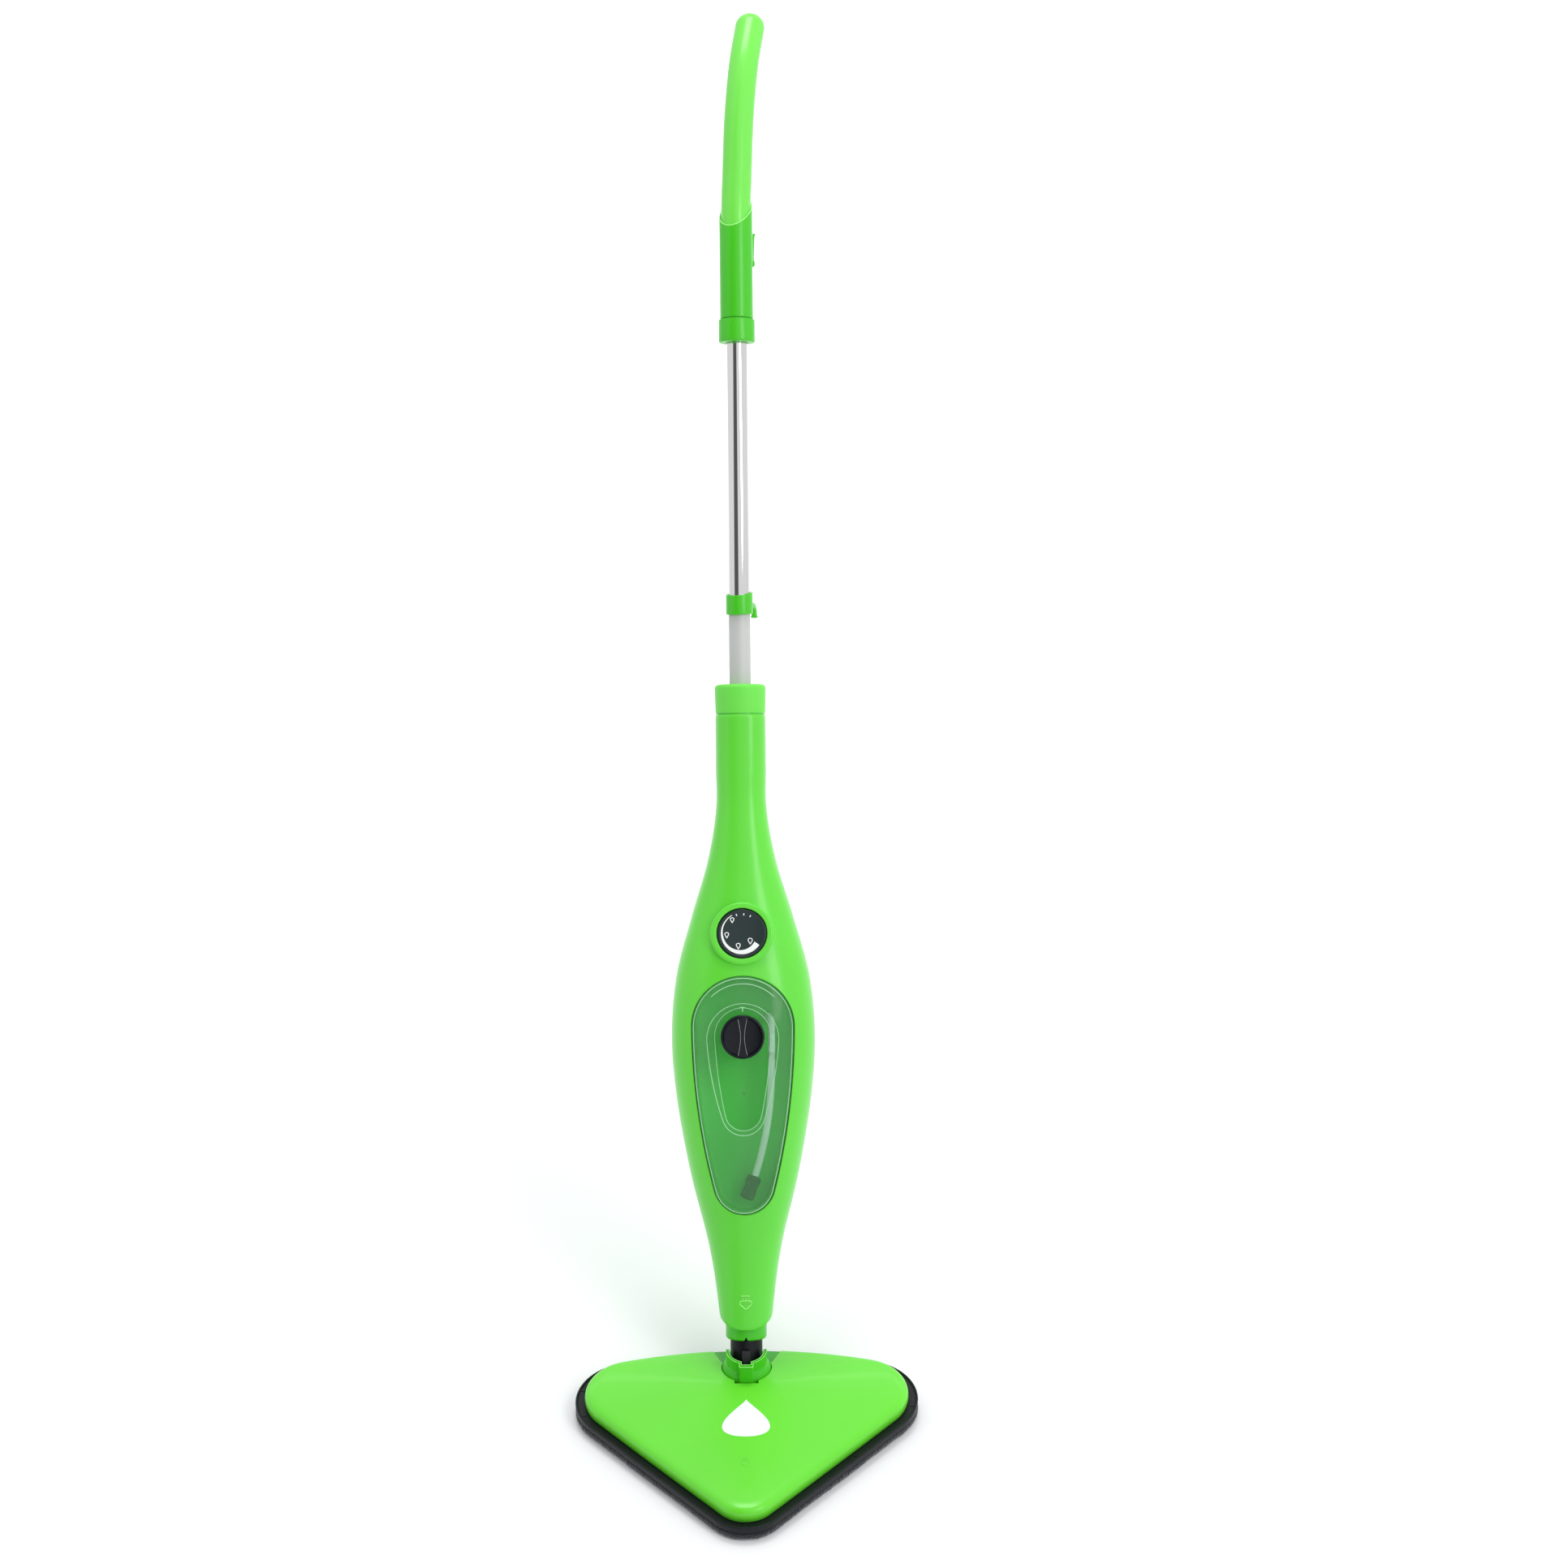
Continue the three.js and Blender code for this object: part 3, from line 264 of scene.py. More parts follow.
def cut(obj, *makers, operation="DIFFERENCE", solver="MANIFOLD"):
    """Cuts the solids that makers draw, each in its own frame, out of obj."""
    for matrix, maker in makers:
        bm = bmesh.new()
        maker(bm)
        clean(bm)
        tool = add_object("cutter", to_metres(bm, "cutter", obj.matrix_world.inverted() @ matrix))
        tool.matrix_world = obj.matrix_world
        mod = obj.modifiers.new("cut", "BOOLEAN")
        mod.operation, mod.object, mod.solver = operation, tool, solver
        bpy.context.view_layer.update()
        baked = bpy.data.meshes.new_from_object(obj.evaluated_get(bpy.context.evaluated_depsgraph_get()))
        obj.modifiers.remove(mod)
        obj.data = baked
        bpy.data.objects.remove(tool)
    while len(obj.data.materials) > 1:
        obj.data.materials.pop()


def ball(radius, sides=72):
    angles = np.linspace(-math.pi / 2, math.pi / 2, sides // 2 + 1)[1:-1]
    return lambda bm: lathe(bm, [(radius * math.cos(a), radius * math.sin(a)) for a in angles], sides)


def drum(radius, low, high, sides=72):
    return lambda bm: lattice(bm, [ring(radius, z, sides) for z in (low, high)], close_ends=True)


def crate(x0, x1, y0, y1, z0, z1):
    return lambda bm: prism(bm, [(x0, y0), (x1, y0), (x1, y1), (x0, y1)], z0, z1)


# ---------------------------------------------------------------- finishes
# noises: scale, detail and, where it is not 0.5, roughness
DRIFT = (9.0, 2.0)
SMUDGE = (38.0, 4.0, 0.6)
GRAIN = (1400.0, 2.0)
WAVES = (24.0, 2.0)
LINT = (230.0, 4.0, 0.65)
TUFT_SCALE = 620.0
GRAIN_DEPTH, WAVE_DEPTH, WAVE_STRENGTH = 0.0002, 0.0006, 0.03
EDGE_LOW, EDGE_HIGH = 0.54, 0.66
COAT_ROUGHNESS = 0.08
MARKED_ALPHA = 0.4


def colour(hex_code):
    """A linear colour from an sRGB hex code."""
    parts = [int(hex_code[i:i + 2], 16) / 255 for i in (0, 2, 4)]
    return [p / 12.92 if p <= 0.04045 else ((p + 0.055) / 1.055) ** 2.4 for p in parts] + [1]


def tint(base, gain, lift=0.0):
    """A colour made stronger or weaker, then lifted towards white."""
    return [min(1, c * gain + lift) for c in base[:3]] + [1]


class Graph:
    """Small helper that adds and links the shader nodes of a new material."""

    def __init__(self, name):
        self.material = bpy.data.materials.new(name)
        self.material.use_nodes = True
        self.tree = self.material.node_tree
        self.shader = self.tree.nodes["Principled BSDF"]
        self.place = self.add("ShaderNodeTexCoord").outputs["Object"]

    def add(self, kind, **values):
        node = self.tree.nodes.new(kind)
        for key, value in values.items():
            if hasattr(node, key):
                setattr(node, key, value)
            else:
                node.inputs[key].default_value = value
        return node

    def link(self, out, socket):
        """Feeds an output into a socket, which may be named as one of the shader's."""
        self.tree.links.new(out, self.shader.inputs[socket] if isinstance(socket, str) else socket)

    def set(self, **values):
        """Sets constants of the shader, named with _ for each space."""
        for key, value in values.items():
            self.shader.inputs[key.replace("_", " ")].default_value = value

    def noise(self, scale, detail=3.0, rough=0.5):
        node = self.add("ShaderNodeTexNoise", Scale=scale, Detail=detail, Roughness=rough)
        self.link(self.place, node.inputs["Vector"])
        return node.outputs["Fac"]

    def ramp(self, factor, low, high, from_min=0.3, from_max=0.7):
        node = self.add("ShaderNodeMapRange")
        for key, value in (("From Min", from_min), ("From Max", from_max), ("To Min", low), ("To Max", high)):
            node.inputs[key].default_value = value
        self.link(factor, node.inputs["Value"])
        return node.outputs["Result"]

    def mix(self, factor, a, b):
        node = self.add("ShaderNodeMix", data_type="RGBA")
        self.link(factor, node.inputs["Factor"])
        for socket, value in ((node.inputs[6], a), (node.inputs[7], b)):
            if isinstance(value, list):
                socket.default_value = value
            else:
                self.link(value, socket)
        return node.outputs[2]

    def drifting(self, base, vary, scale, detail):
        """The base colour, drifting slowly between a deeper and a paler tone."""
        drift = self.ramp(self.noise(scale, detail), 0, 1)
        return self.mix(drift, tint(base, 1 - vary), tint(base, 1 + vary))

    def marked(self):
        """1 on faces that mark_faces() has picked out, else 0."""
        return self.add("ShaderNodeAttribute", attribute_name="marked").outputs["Fac"]

    def bump(self, height, strength, distance, under=None):
        node = self.add("ShaderNodeBump", Strength=strength, Distance=distance)
        self.link(height, node.inputs["Height"])
        if under:
            self.link(under, node.inputs["Normal"])
        return node.outputs["Normal"]


def moulded(name, base, rough, vary=0.03, grain=0.1, coat=0.0, wear=0.25, metal=0.0, scuff=0.02,
            recess_shade=None, specular=0.5):
    """Moulded plastic or plain metal: slow colour drift, fine grain, uneven gloss and paler worn edges.
    The colour given for faces marked as lying in a recess is painted shade: a darker green laid where the recess
    falls in shade."""
    g = Graph(name)
    body = g.drifting(base, vary, *DRIFT)
    # painted shade: the marked recess faces take the darker colour
    if recess_shade:
        body = g.mix(g.marked(), body, recess_shade)
    edges = g.ramp(g.add("ShaderNodeNewGeometry").outputs["Pointiness"], 0, wear, EDGE_LOW, EDGE_HIGH)
    g.link(g.mix(edges, body, tint(base, 0.75, 0.25)), "Base Color")
    g.link(g.ramp(g.noise(*SMUDGE), max(0.02, rough - scuff), rough + scuff), "Roughness")
    fine = g.bump(g.noise(*GRAIN), grain, GRAIN_DEPTH)
    g.link(g.bump(g.noise(*WAVES), WAVE_STRENGTH, WAVE_DEPTH, fine), "Normal")
    g.set(Metallic=metal, Coat_Weight=coat, Coat_Roughness=COAT_ROUGHNESS, Specular_IOR_Level=specular)
    return g.material


def clear(name, base, rough, solid, vary=0.05):
    """See-through moulded plastic, clearer on its marked faces."""
    g = Graph(name)
    g.link(g.drifting(base, vary, 14.0, 2.0), "Base Color")
    g.link(g.ramp(g.noise(50.0, 3.0), rough * 0.7, rough * 1.3), "Roughness")
    g.link(g.bump(g.noise(90.0, 2.0), 0.05, WAVE_DEPTH), "Normal")
    g.link(g.ramp(g.marked(), solid, solid * MARKED_ALPHA, 0, 1), "Alpha")
    return g.material


def looped_cloth(name, base):
    """Looped microfibre: small tufts, lint and a soft sheen."""
    g = Graph(name)
    tufts = g.add("ShaderNodeTexVoronoi", Scale=TUFT_SCALE)
    g.link(g.place, tufts.inputs["Vector"])
    lint = g.noise(*LINT)
    dark, pale = tint(base, 0.55), tint(base, 1.7)
    tone = g.mix(g.ramp(tufts.outputs["Distance"], 0, 1, 0.0, 0.75), pale, dark)
    g.link(g.mix(g.ramp(lint, 0, 0.55, 0.42, 0.75), tone, pale), "Base Color")
    g.link(g.ramp(lint, 0.88, 1.0), "Roughness")
    weave = g.bump(tufts.outputs["Distance"], 0.7, 0.0012)
    g.link(g.bump(lint, 0.5, 0.001, weave), "Normal")
    g.set(Sheen_Weight=0.35, Sheen_Roughness=0.6, Specular_IOR_Level=0.2)
    return g.material


# name: colour, roughness and what differs from the usual
MOULDED = {
    # head_lime paints the marked recess faces a darker green as shade
    "head_lime": ("68dd2f", 0.3, {"coat": 0.15, "specular": 0.4, "recess_shade": colour("34b315")}),
    "lime_gloss": ("63da3a", 0.3, {"coat": 0.15, "specular": 0.4}),
    "lime_matte": ("70e44e", 0.5, {"grain": 0.5, "specular": 0.4}),
    "lime_deep": ("45c41c", 0.3, {"coat": 0.1, "specular": 0.4}),
    # lime_gloss_lit is a paler copy of lime_gloss: the grip's highlight painted into its colour
    "lime_gloss_lit": ("72e04c", 0.3, {"coat": 0.2, "specular": 0.4}),
    "black_plastic": ("0a0e12", 0.42, {"vary": 0.15, "grain": 0.3, "wear": 0.1, "specular": 0.25}),
    "black_gloss": ("0b1119", 0.14, {"vary": 0.1, "coat": 0.04, "wear": 0.0, "specular": 0.25}),
    "dial_black": ("22302f", 0.14, {"vary": 0.1, "coat": 0.04, "wear": 0.0, "specular": 0.3}),
    "tank_green": ("42d03c", 0.4, {"vary": 0.05}),
    "hose_clear": ("cdeeda", 0.3, {"wear": 0.0}),
    "rubber": ("1c1c1c", 0.7, {"grain": 0.4, "wear": 0.1}),
    "white_plastic": ("dfe0da", 0.45, {"wear": 0.0}),
    "white_mark": ("f4f6f4", 0.35, {"vary": 0.02, "wear": 0.0}),
    # the pale line finish paints highlights on the window's steps and colours the cap's lock mark
    "pale_mark_and_highlight": ("b4e8ba", 0.2, {"wear": 0.0}),
    # the grey line finish paints highlights on the cap knob's bar
    "grey_highlight": ("8b9299", 0.2, {"wear": 0.0}),
    # the lime line finish is a paler green that paints highlights on rims and raised lines
    "lime_highlight": ("9cf47c", 0.3, {"wear": 0.0}),
    "circuit_board": ("1d6b3a", 0.5, {"vary": 0.2}),
    "chrome": ("dcdad8", 0.05, {"vary": 0.02, "grain": 0.0, "metal": 1.0, "scuff": 0.01, "wear": 0.0}),
    "satin_steel": ("c4c4c1", 0.55, {"grain": 0.4, "metal": 0.1, "wear": 0.1}),
    "steel": ("b8b8b5", 0.3, {"metal": 1.0, "grain": 0.3, "wear": 0.1}),
    "aluminium": ("a8abad", 0.45, {"metal": 1.0, "grain": 0.5, "wear": 0.1}),
}
finish = {name: moulded(name, colour(code), rough, **rest) for name, (code, rough, rest) in MOULDED.items()}
finish["pad_cloth"] = looped_cloth("pad_cloth", colour("1e2126"))
finish["tank_window"] = clear("tank_window", colour("74b87a"), 0.07, 0.2)
slots = {s["node"]: s["material_slot"] for s in frame["record"]["subparts"]}
for node, obj in frame["nodes"].items():
    obj.data.materials.clear()
    obj.data.materials.append(finish[slots[node]])

# ---------------------------------------------------------------- head
HEAD_CORNERS = [(98, -22.5, 49, 15), (-98, -22.5, 49, 0.5), (0, -145, 35.5, 0.5)]
HEAD_POINTS = (40, 44)
COVER_INSET = 7.0
DOME_CENTRE = np.array((0.0, -30.0))
DRAW_IN = 1.4 / 135
REAR_START, REAR_LENGTH, REAR_FALL = 10.0, 20.0, 0.9
SIDE_FOOT, SIDE_HEIGHT = 15.0, 8.0
RECESS_FLOOR, RECESS_TOP, RECESS_DRAFT = 20.0, 44.0, 1.5
RECESS_PLAN = ((6, 19), (8.5, 21.8), (60, 42))
BALL_SEAT_R = 22.0
LUG_SLOT_R, LUG_SLOT_REACH = 11.6, 23.1
FLANGE_LOW, FLANGE_TOP, FLANGE_IN = 8.1, 12.7, 16.0
RIB_SPOTS = (10, 34, 104, 118, 148, 166, 188, 206, 236, 62)
RIB_R, RIB_Z = 0.42, 12.85
cover_low = local("head_cover", HEAD)[0][2]
rim_top = local("base_plate", HEAD)[0][2] + 6
pad_top = local("mop_pad", HEAD)[1][2]
# inset and height, then share of the last outline and height
SHOULDER = [(0.9, cover_low), (0.25, 14.7), (0, 15.6), (0.1, 19.4), (0.55, 21.2), (1.6, 22.9), (3.3, 24.2),
            (6.2, 25.1), (9.5, 25.7)]
CROWN = [(1, 25.7), (0.9, 26.6), (0.76, 27.7), (0.48, 29.6), (0.2, 30.8), (0.04, 31.0)]


def head_ring(inset, z, share=1.0):
    points = outline(HEAD_CORNERS, inset, *HEAD_POINTS)
    points = DOME_CENTRE + (points - DOME_CENTRE) * share
    return np.column_stack((points, np.full(len(points), z)))


rows = [head_ring(COVER_INSET + inset, z) for inset, z in spline(SHOULDER, 4)]
rows += [head_ring(COVER_INSET + SHOULDER[-1][0], z, share) for share, z in spline(CROWN, 9)[1:]]
for row in rows:
    row[:, :2] = DOME_CENTRE + (row[:, :2] - DOME_CENTRE) * (1 - DRAW_IN)
    fall = np.clip((row[:, 1] - REAR_START) / REAR_LENGTH, 0, 1)
    row[:, 2] -= REAR_FALL * fall**0.85 * np.clip((row[:, 2] - SIDE_FOOT) / SIDE_HEIGHT, 0, 1)
bm = bmesh.new()
lattice(bm, rows, close_ends=True)
cover = piece("head_shell", bm, HEAD, "head", "head_lime", ["head_cover"])


def channel(bm):
    """Space behind the swivel collar, with drafted side walls and rounded corners."""
    rows = []
    for y, half in RECESS_PLAN:
        wide = half + RECESS_DRAFT
        section = rounded([(wide, RECESS_TOP, 0), (half, RECESS_FLOOR, 3), (-half, RECESS_FLOOR, 3),
                           (-wide, RECESS_TOP, 0)])
        rows.append([(x, y, z) for x, z in section])
    lattice(bm, rows, close_ends=True)


def in_shaded_channel(c, n):
    """True on the floor and the side walls of the space behind the swivel collar, the faces that take painted
    shade.
    """
    half = 22 + (c.y - 8) * 20 / 52
    floor = c.z < RECESS_FLOOR + 2.5 and n.z > 0.5
    wall = abs(n.x) > 0.6 and n.x * c.x < 0
    return c.y > 5 and abs(c.x) < half + 2 and c.z > RECESS_FLOOR - 0.5 and (floor or wall)


cut(cover, (HEAD, channel), (COLLAR, ball(BALL_SEAT_R)), (COLLAR, drum(BALL_SEAT_R, -30, 0)),
    (COLLAR @ ALONG_Y, drum(LUG_SLOT_R, 0, LUG_SLOT_REACH, 48)))
shade(cover.data, 32)
# picks out the recess faces for the cover's painted shade
mark_faces(cover.data, in_shaded_channel)

flange = rounded([(FLANGE_IN, FLANGE_LOW, 0), (0.4, FLANGE_LOW, 0.6), (0.1, rim_top, 0.7),
                  (1.7, rim_top, 0.5), (2.2, FLANGE_TOP, 0.5), (FLANGE_IN, FLANGE_TOP, 0)], steps=3)
bm = bmesh.new()
lattice(bm, [head_ring(i, z) for i, z in flange], loop_rows=True)
piece("head_flange", bm, HEAD, "head", "black_plastic", ["base_plate"])

rim = outline(HEAD_CORNERS, 0, *HEAD_POINTS)
inner_rim = outline(HEAD_CORNERS, COVER_INSET, *HEAD_POINTS)
bm = bmesh.new()
for index in RIB_SPOTS:
    a, b = rim[index], inner_rim[index]
    bead(bm, [(*(a + (b - a) * t), RIB_Z) for t in (0.34, 0.5, 0.7, 0.9)], RIB_R)
piece("flange_ribs", bm, HEAD, "head", "black_plastic")

# ---------------------------------------------------------------- mop pad, swollen by a cloth simulation
PAD_LOW, PAD_IN = 0.2, 20.0
PAD_SHARES = (0.02, 0.2, 0.4, 0.6, 0.8)
PAD_VOXEL, PAD_PRESSURE, PAD_FRAMES, PAD_SHIFT = 0.0028, 3.0, 16, 0.0012
TUFTS = ((620, 0.5), (150, 0.6))
TUFT_HEIGHT, FLOOR_GAP = 0.00045, 0.0001


def pad_mesh():
    top = pad_top - 0.2
    edge = rounded([(PAD_IN, PAD_LOW, 0), (-1.1, PAD_LOW, 1.0), (-0.9, top, 1.2), (PAD_IN, top, 0)], steps=6)
    rows = [head_ring(PAD_IN, PAD_LOW + 0.1, share) for share in PAD_SHARES]
    rows += [head_ring(i, z) for i, z in edge]
    rows += [head_ring(PAD_IN, top, share) for share in PAD_SHARES[::-1]]
    bm = bmesh.new()
    lattice(bm, rows, close_ends=True)
    bmesh.ops.recalc_face_normals(bm, faces=bm.faces)
    return to_metres(bm, "mop_pad_cloth", HEAD)


def swell(obj, voxel, pressure, frames, cap):
    """Remeshes obj, blows it up as cloth without gravity, and lets no point move further than cap."""
    scene = bpy.context.scene
    bpy.context.view_layer.objects.active = obj
    remesh = obj.modifiers.new("remesh", "REMESH")
    remesh.mode, remesh.voxel_size = "VOXEL", voxel
    bpy.ops.object.modifier_apply(modifier="remesh")
    rest = np.array([v.co for v in obj.data.vertices])
    cloth = obj.modifiers.new("cloth", "CLOTH")
    cloth.settings.use_pressure = True
    cloth.settings.uniform_pressure_force = pressure
    cloth.settings.effector_weights.gravity = 0
    cloth.settings.quality = 5
    for number in range(1, frames + 1):
        scene.frame_set(number)
    moved = obj.evaluated_get(bpy.context.evaluated_depsgraph_get()).to_mesh()
    after = np.array([v.co for v in moved.vertices])
    obj.modifiers.remove(cloth)
    scene.frame_set(1)
    shift = after - rest
    size = np.linalg.norm(shift, axis=1, keepdims=True)
    return rest + shift * np.minimum(1, cap / np.maximum(size, 1e-9))


pad = add_object("mop_pad_cloth", pad_mesh())
pad.select_set(True)
places = swell(pad, PAD_VOXEL, PAD_PRESSURE, PAD_FRAMES, PAD_SHIFT)
pad.data.vertices.foreach_set("co", places.astype(np.float32).ravel())
finer = pad.modifiers.new("finer", "SUBSURF")
finer.levels = finer.render_levels = 1
bpy.ops.object.modifier_apply(modifier="finer")
for v, n in zip(pad.data.vertices, [v.normal.copy() for v in pad.data.vertices]):
    v.co += n * sum(noise.noise(v.co * scale) * share for scale, share in TUFTS) * TUFT_HEIGHT
    v.co.z = min(max(v.co.z, FLOOR_GAP), pad_top * MM)
pad.data.materials.append(finish["pad_cloth"])
pad.data.polygons.foreach_set("use_smooth", [True] * len(pad.data.polygons))
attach(pad, "head")
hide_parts("mop_pad")

# ---------------------------------------------------------------- swivel collar and neck
KEY_HALF, KEY_OUT, KEY_LOW, KEY_HIGH = 3.5, 17.6, 9.2, 20.3
LUG_HALF, LUG_OUT = 6.3, 22.3
BALL_R, BALL_BACK, BALL_BOTTOM = 21.3, 16.0, -10.8
CRADLE_R, CRADLE_TOP, CRADLE_BORE_R = 17.6, 22.0, 14.6
BACK_OPENS_Y, BACK_OPENS_Z = 2.0, 7.0
NECK_R, NECK_TUBE_R, NECK_SHOULDER = 13.8, 13.0, 28.1
TILT_STEPS, TILT_STEP, ROCK = 7, 10, 25
LINE_R = 0.35
FAR, FARTHER = 40, 60
bm = bmesh.new()
ball(BALL_R, 96)(bm)
collar = piece("swivel_collar_shell", bm, COLLAR, "collar", "lime_deep", ["swivel_collar"])


def rim_outline(radius, lug_half, lug_out, corner):
    """Plan of the cradle: a circle with a squared lug at its front."""
    meet = -math.sqrt(radius**2 - lug_half**2)
    lug = rounded([(-lug_half, meet, 0), (-lug_half, -lug_out, corner), (lug_half, -lug_out, corner),
                   (lug_half, meet, 0)])
    start = math.atan2(meet, lug_half)
    arc = np.linspace(start, start + 2 * math.pi - (2 * start + math.pi) % (2 * math.pi), 90)[1:-1]
    return [*[tuple(p) for p in lug], *[(radius * math.cos(a), radius * math.sin(a)) for a in arc]]


def cradle(bm):
    prism(bm, rim_outline(CRADLE_R, LUG_HALF, LUG_OUT, 2.0), -2, CRADLE_TOP, 0.6)


def keyway(bm):
    prism(bm, rim_outline(CRADLE_BORE_R, KEY_HALF + 0.4, KEY_OUT + 0.7, 0.6), 7.7, FAR)


def rim_groove(bm):
    """Shallow groove along the middle of the cradle's top edge."""
    outer = rim_outline(CRADLE_R - 1.0, LUG_HALF - 1.0, LUG_OUT - 1.1, 1.0)
    inner = rim_outline(CRADLE_BORE_R + 1.0, KEY_HALF + 1.3, KEY_OUT + 1.9, 0.6)
    low, high = CRADLE_TOP - 0.7, CRADLE_TOP + 1
    levels = ((inner, low), (outer, low), (outer, high), (inner, high))
    lattice(bm, [[(x, y, z) for x, y in points] for points, z in levels], loop_rows=True)


def rim_chamfer(bm):
    lathe(bm, [(CRADLE_BORE_R - 1, CRADLE_TOP - 1.4), (CRADLE_BORE_R + 0.5, CRADLE_TOP + 0.1),
               (CRADLE_BORE_R, 30)])


cut(collar, (COLLAR, crate(-FAR, FAR, BALL_BACK, FAR, -FAR, FAR)))
cut(collar, (COLLAR, cradle), operation="UNION")
for step in range(TILT_STEPS):
    lean = Matrix.Rotation(-math.radians(TILT_STEP * step), 4, "X")
    cut(collar, (COLLAR @ lean, drum(CRADLE_BORE_R, 0, FARTHER, 96)))
cut(collar, (COLLAR, ball(CRADLE_BORE_R, 96)), (COLLAR, crate(-CRADLE_BORE_R, CRADLE_BORE_R, 4, FAR, 0, FAR)),
    (COLLAR, keyway), (COLLAR, crate(-FAR, FAR, BACK_OPENS_Y, FAR, BACK_OPENS_Z, FAR)),
    (COLLAR, rim_groove), (COLLAR, rim_chamfer))
for side in (-1, 0, 1):
    rock = Matrix.Rotation(math.radians(ROCK) * side, 4, "Y")
    cut(collar, (COLLAR @ rock, crate(-FARTHER, FARTHER, -FARTHER, FARTHER, -FARTHER, BALL_BOTTOM)))
shade(collar.data, 35)


def front_rim(radius, lug_half, lug_out):
    """The part of a cradle outline in front of its open back, from left to right."""
    points = rim_outline(radius, lug_half, lug_out, 0.8)
    open_from = BACK_OPENS_Y - 0.6
    last = max(i for i, p in enumerate(points) if p[1] > open_from)
    return [(x, y, CRADLE_TOP - 0.15) for x, y in points[last + 1:] + points[:last] if y < open_from]


# pale lines along the cradle's outer and inner top edges: painted highlights on its rims
bm = bmesh.new()
bead(bm, front_rim(CRADLE_R - 0.5, LUG_HALF - 0.5, LUG_OUT - 0.5), LINE_R)
bead(bm, front_rim(CRADLE_BORE_R + 0.5, KEY_HALF + 0.85, KEY_OUT + 1.2), LINE_R)
piece("collar_rim_highlights", bm, COLLAR, "collar", "lime_deep", look=finish["lime_highlight"])

neck_top = local("neck", STICK)[1][2]
profile = [tuple(NECK_R * heading(a)) for a in np.radians(np.linspace(-80, 0, 24))]
profile += [tuple(p) for p in rounded([(NECK_R, 1, 0), (NECK_R, NECK_SHOULDER, 0.5),
                                       (NECK_TUBE_R, NECK_SHOULDER + 0.1, 0), (NECK_TUBE_R, neck_top, 0)])]
bm = bmesh.new()
lathe(bm, profile)
prism(bm, [(-KEY_HALF, -KEY_OUT), (KEY_HALF, -KEY_OUT), (KEY_HALF, -10), (-KEY_HALF, -10)],
      KEY_LOW, KEY_HIGH, 0.6)
piece("neck_core", bm, STICK, "unit", "black_plastic", ["neck"])

# ---------------------------------------------------------------- unit sections
# height, half width and half depth
UNIT_SECTIONS = [(565.3, 21.7, 21.7), (520, 21.7, 21.7), (486, 21.8, 21.8), (442, 29, 26), (392, 43.8, 34.5),
                 (342, 57.2, 43), (291, 61.8, 48), (241, 58.6, 48), (174, 47.2, 42), (106, 30.8, 31),
                 (56, 23.6, 24.5), (20, 21, 22)]
UNIT_POWER = 2.25
UNIT_TOP = local("rear_housing", STICK)[1][2]
CHIN_Z, CHIN_SLOPE, CHIN_ROWS = 39.0, math.tan(math.radians(31)), 30
NOZZLE_R = 17.6
WINDOW = [(0, 298.9, 44, 7), (0, 165.6, 26.6, 7)]
PLATEAU = [(0, 289.1, 30.9, 7), (0, 226.2, 18.7, 7)]
PLATEAU_FLOOR = [(0, 292.2, 23.8, 5), (0, 227.5, 15.6, 5)]
WINDOW_POINTS = (60, 60)
SEAM_R, SEAM_GAP, SEAM_LIP = 0.7, 0.15, 2.5
LIP_R, LIP_WALL = 1.0, 4.4
BEZEL_HOLE = 24.9
COLUMNS = 44
TOP_RIM = ((0.25, 0.5), (0.8, 0.75), (5, 0.8), (11.7, 0.8))
LOW_RIM = ((0.3, -0.35), (0.9, -0.5))
LOW_R = 23.0
REAR_FROM = 120.0
SCREW_HOLE_R, SCREW_HOLE_FROM = 3.3, 11.8
GLAND_HOLE_R, GLAND_HOLE_FROM = 6.6, 10.0
spine = spline([(w, d, z) for z, w, d in UNIT_SECTIONS], 24)[::-1]


def half_width(z):
    return np.interp(z, spine[:, 2], spine[:, 0])


def half_depth(z):
    return np.interp(z, spine[:, 2], spine[:, 1])


def around(z, angle):
    """Point of the unit's surface at a height, angle measured from the side seam towards the front."""
    x = np.cos(angle) ** (2 / UNIT_POWER) * half_width(z)
    return x, np.sin(angle) ** (2 / UNIT_POWER) * half_depth(z)


def front_y(x, z, offset=0.0):
    """Where the unit's front surface lies over a point of the front view."""
    share = np.clip(np.abs(x) / (half_width(z) + offset), 0, 1)
    return -(half_depth(z) + offset) * (1 - share**UNIT_POWER) ** (1 / UNIT_POWER)


def cosine(low, high, count):
    """Heights from low to high, closer together at both ends."""
    return (low + high) / 2 - (high - low) / 2 * np.cos(np.linspace(0, math.pi, count))


def right_side(circles, inset):
    """Right half of an upright outline made of a top and a bottom circle, from low to high."""
    points = outline(circles, inset, *WINDOW_POINTS)
    points = points[points[:, 0] > 0.05]
    points = points[np.argsort(points[:, 1])]
    (_, top, top_r, _), (_, low, low_r, _) = circles
    return np.vstack(([0, low - low_r + inset], points, [0, top + top_r - inset]))


dial_origin = STICK.inverted() @ Vector(joints["steam_dial_turn"]["pos_m"])
dial_axis = (STICK.to_3x3().inverted() @ dial_out).normalized()
DIAL = STICK @ axes(RIGHT, dial_axis.cross(RIGHT), dial_axis, dial_origin)
dial_face = local("steam_dial", DIAL)[1][2]
dial_centre = dial_origin / MM + dial_axis * dial_face
window_edge = right_side(WINDOW, -LIP_R)
bezel_angles = np.linspace(-math.pi / 2, math.pi / 2, 121)
bezel_edge = np.column_stack((BEZEL_HOLE * np.cos(bezel_angles),
                              dial_centre.z - BEZEL_HOLE * dial_axis.y * np.sin(bezel_angles)))
bezel_edge[0, 0] = bezel_edge[-1, 0] = 0


def hole_at(z, edge):
    return np.interp(z, edge[:, 1], edge[:, 0], left=0, right=0)


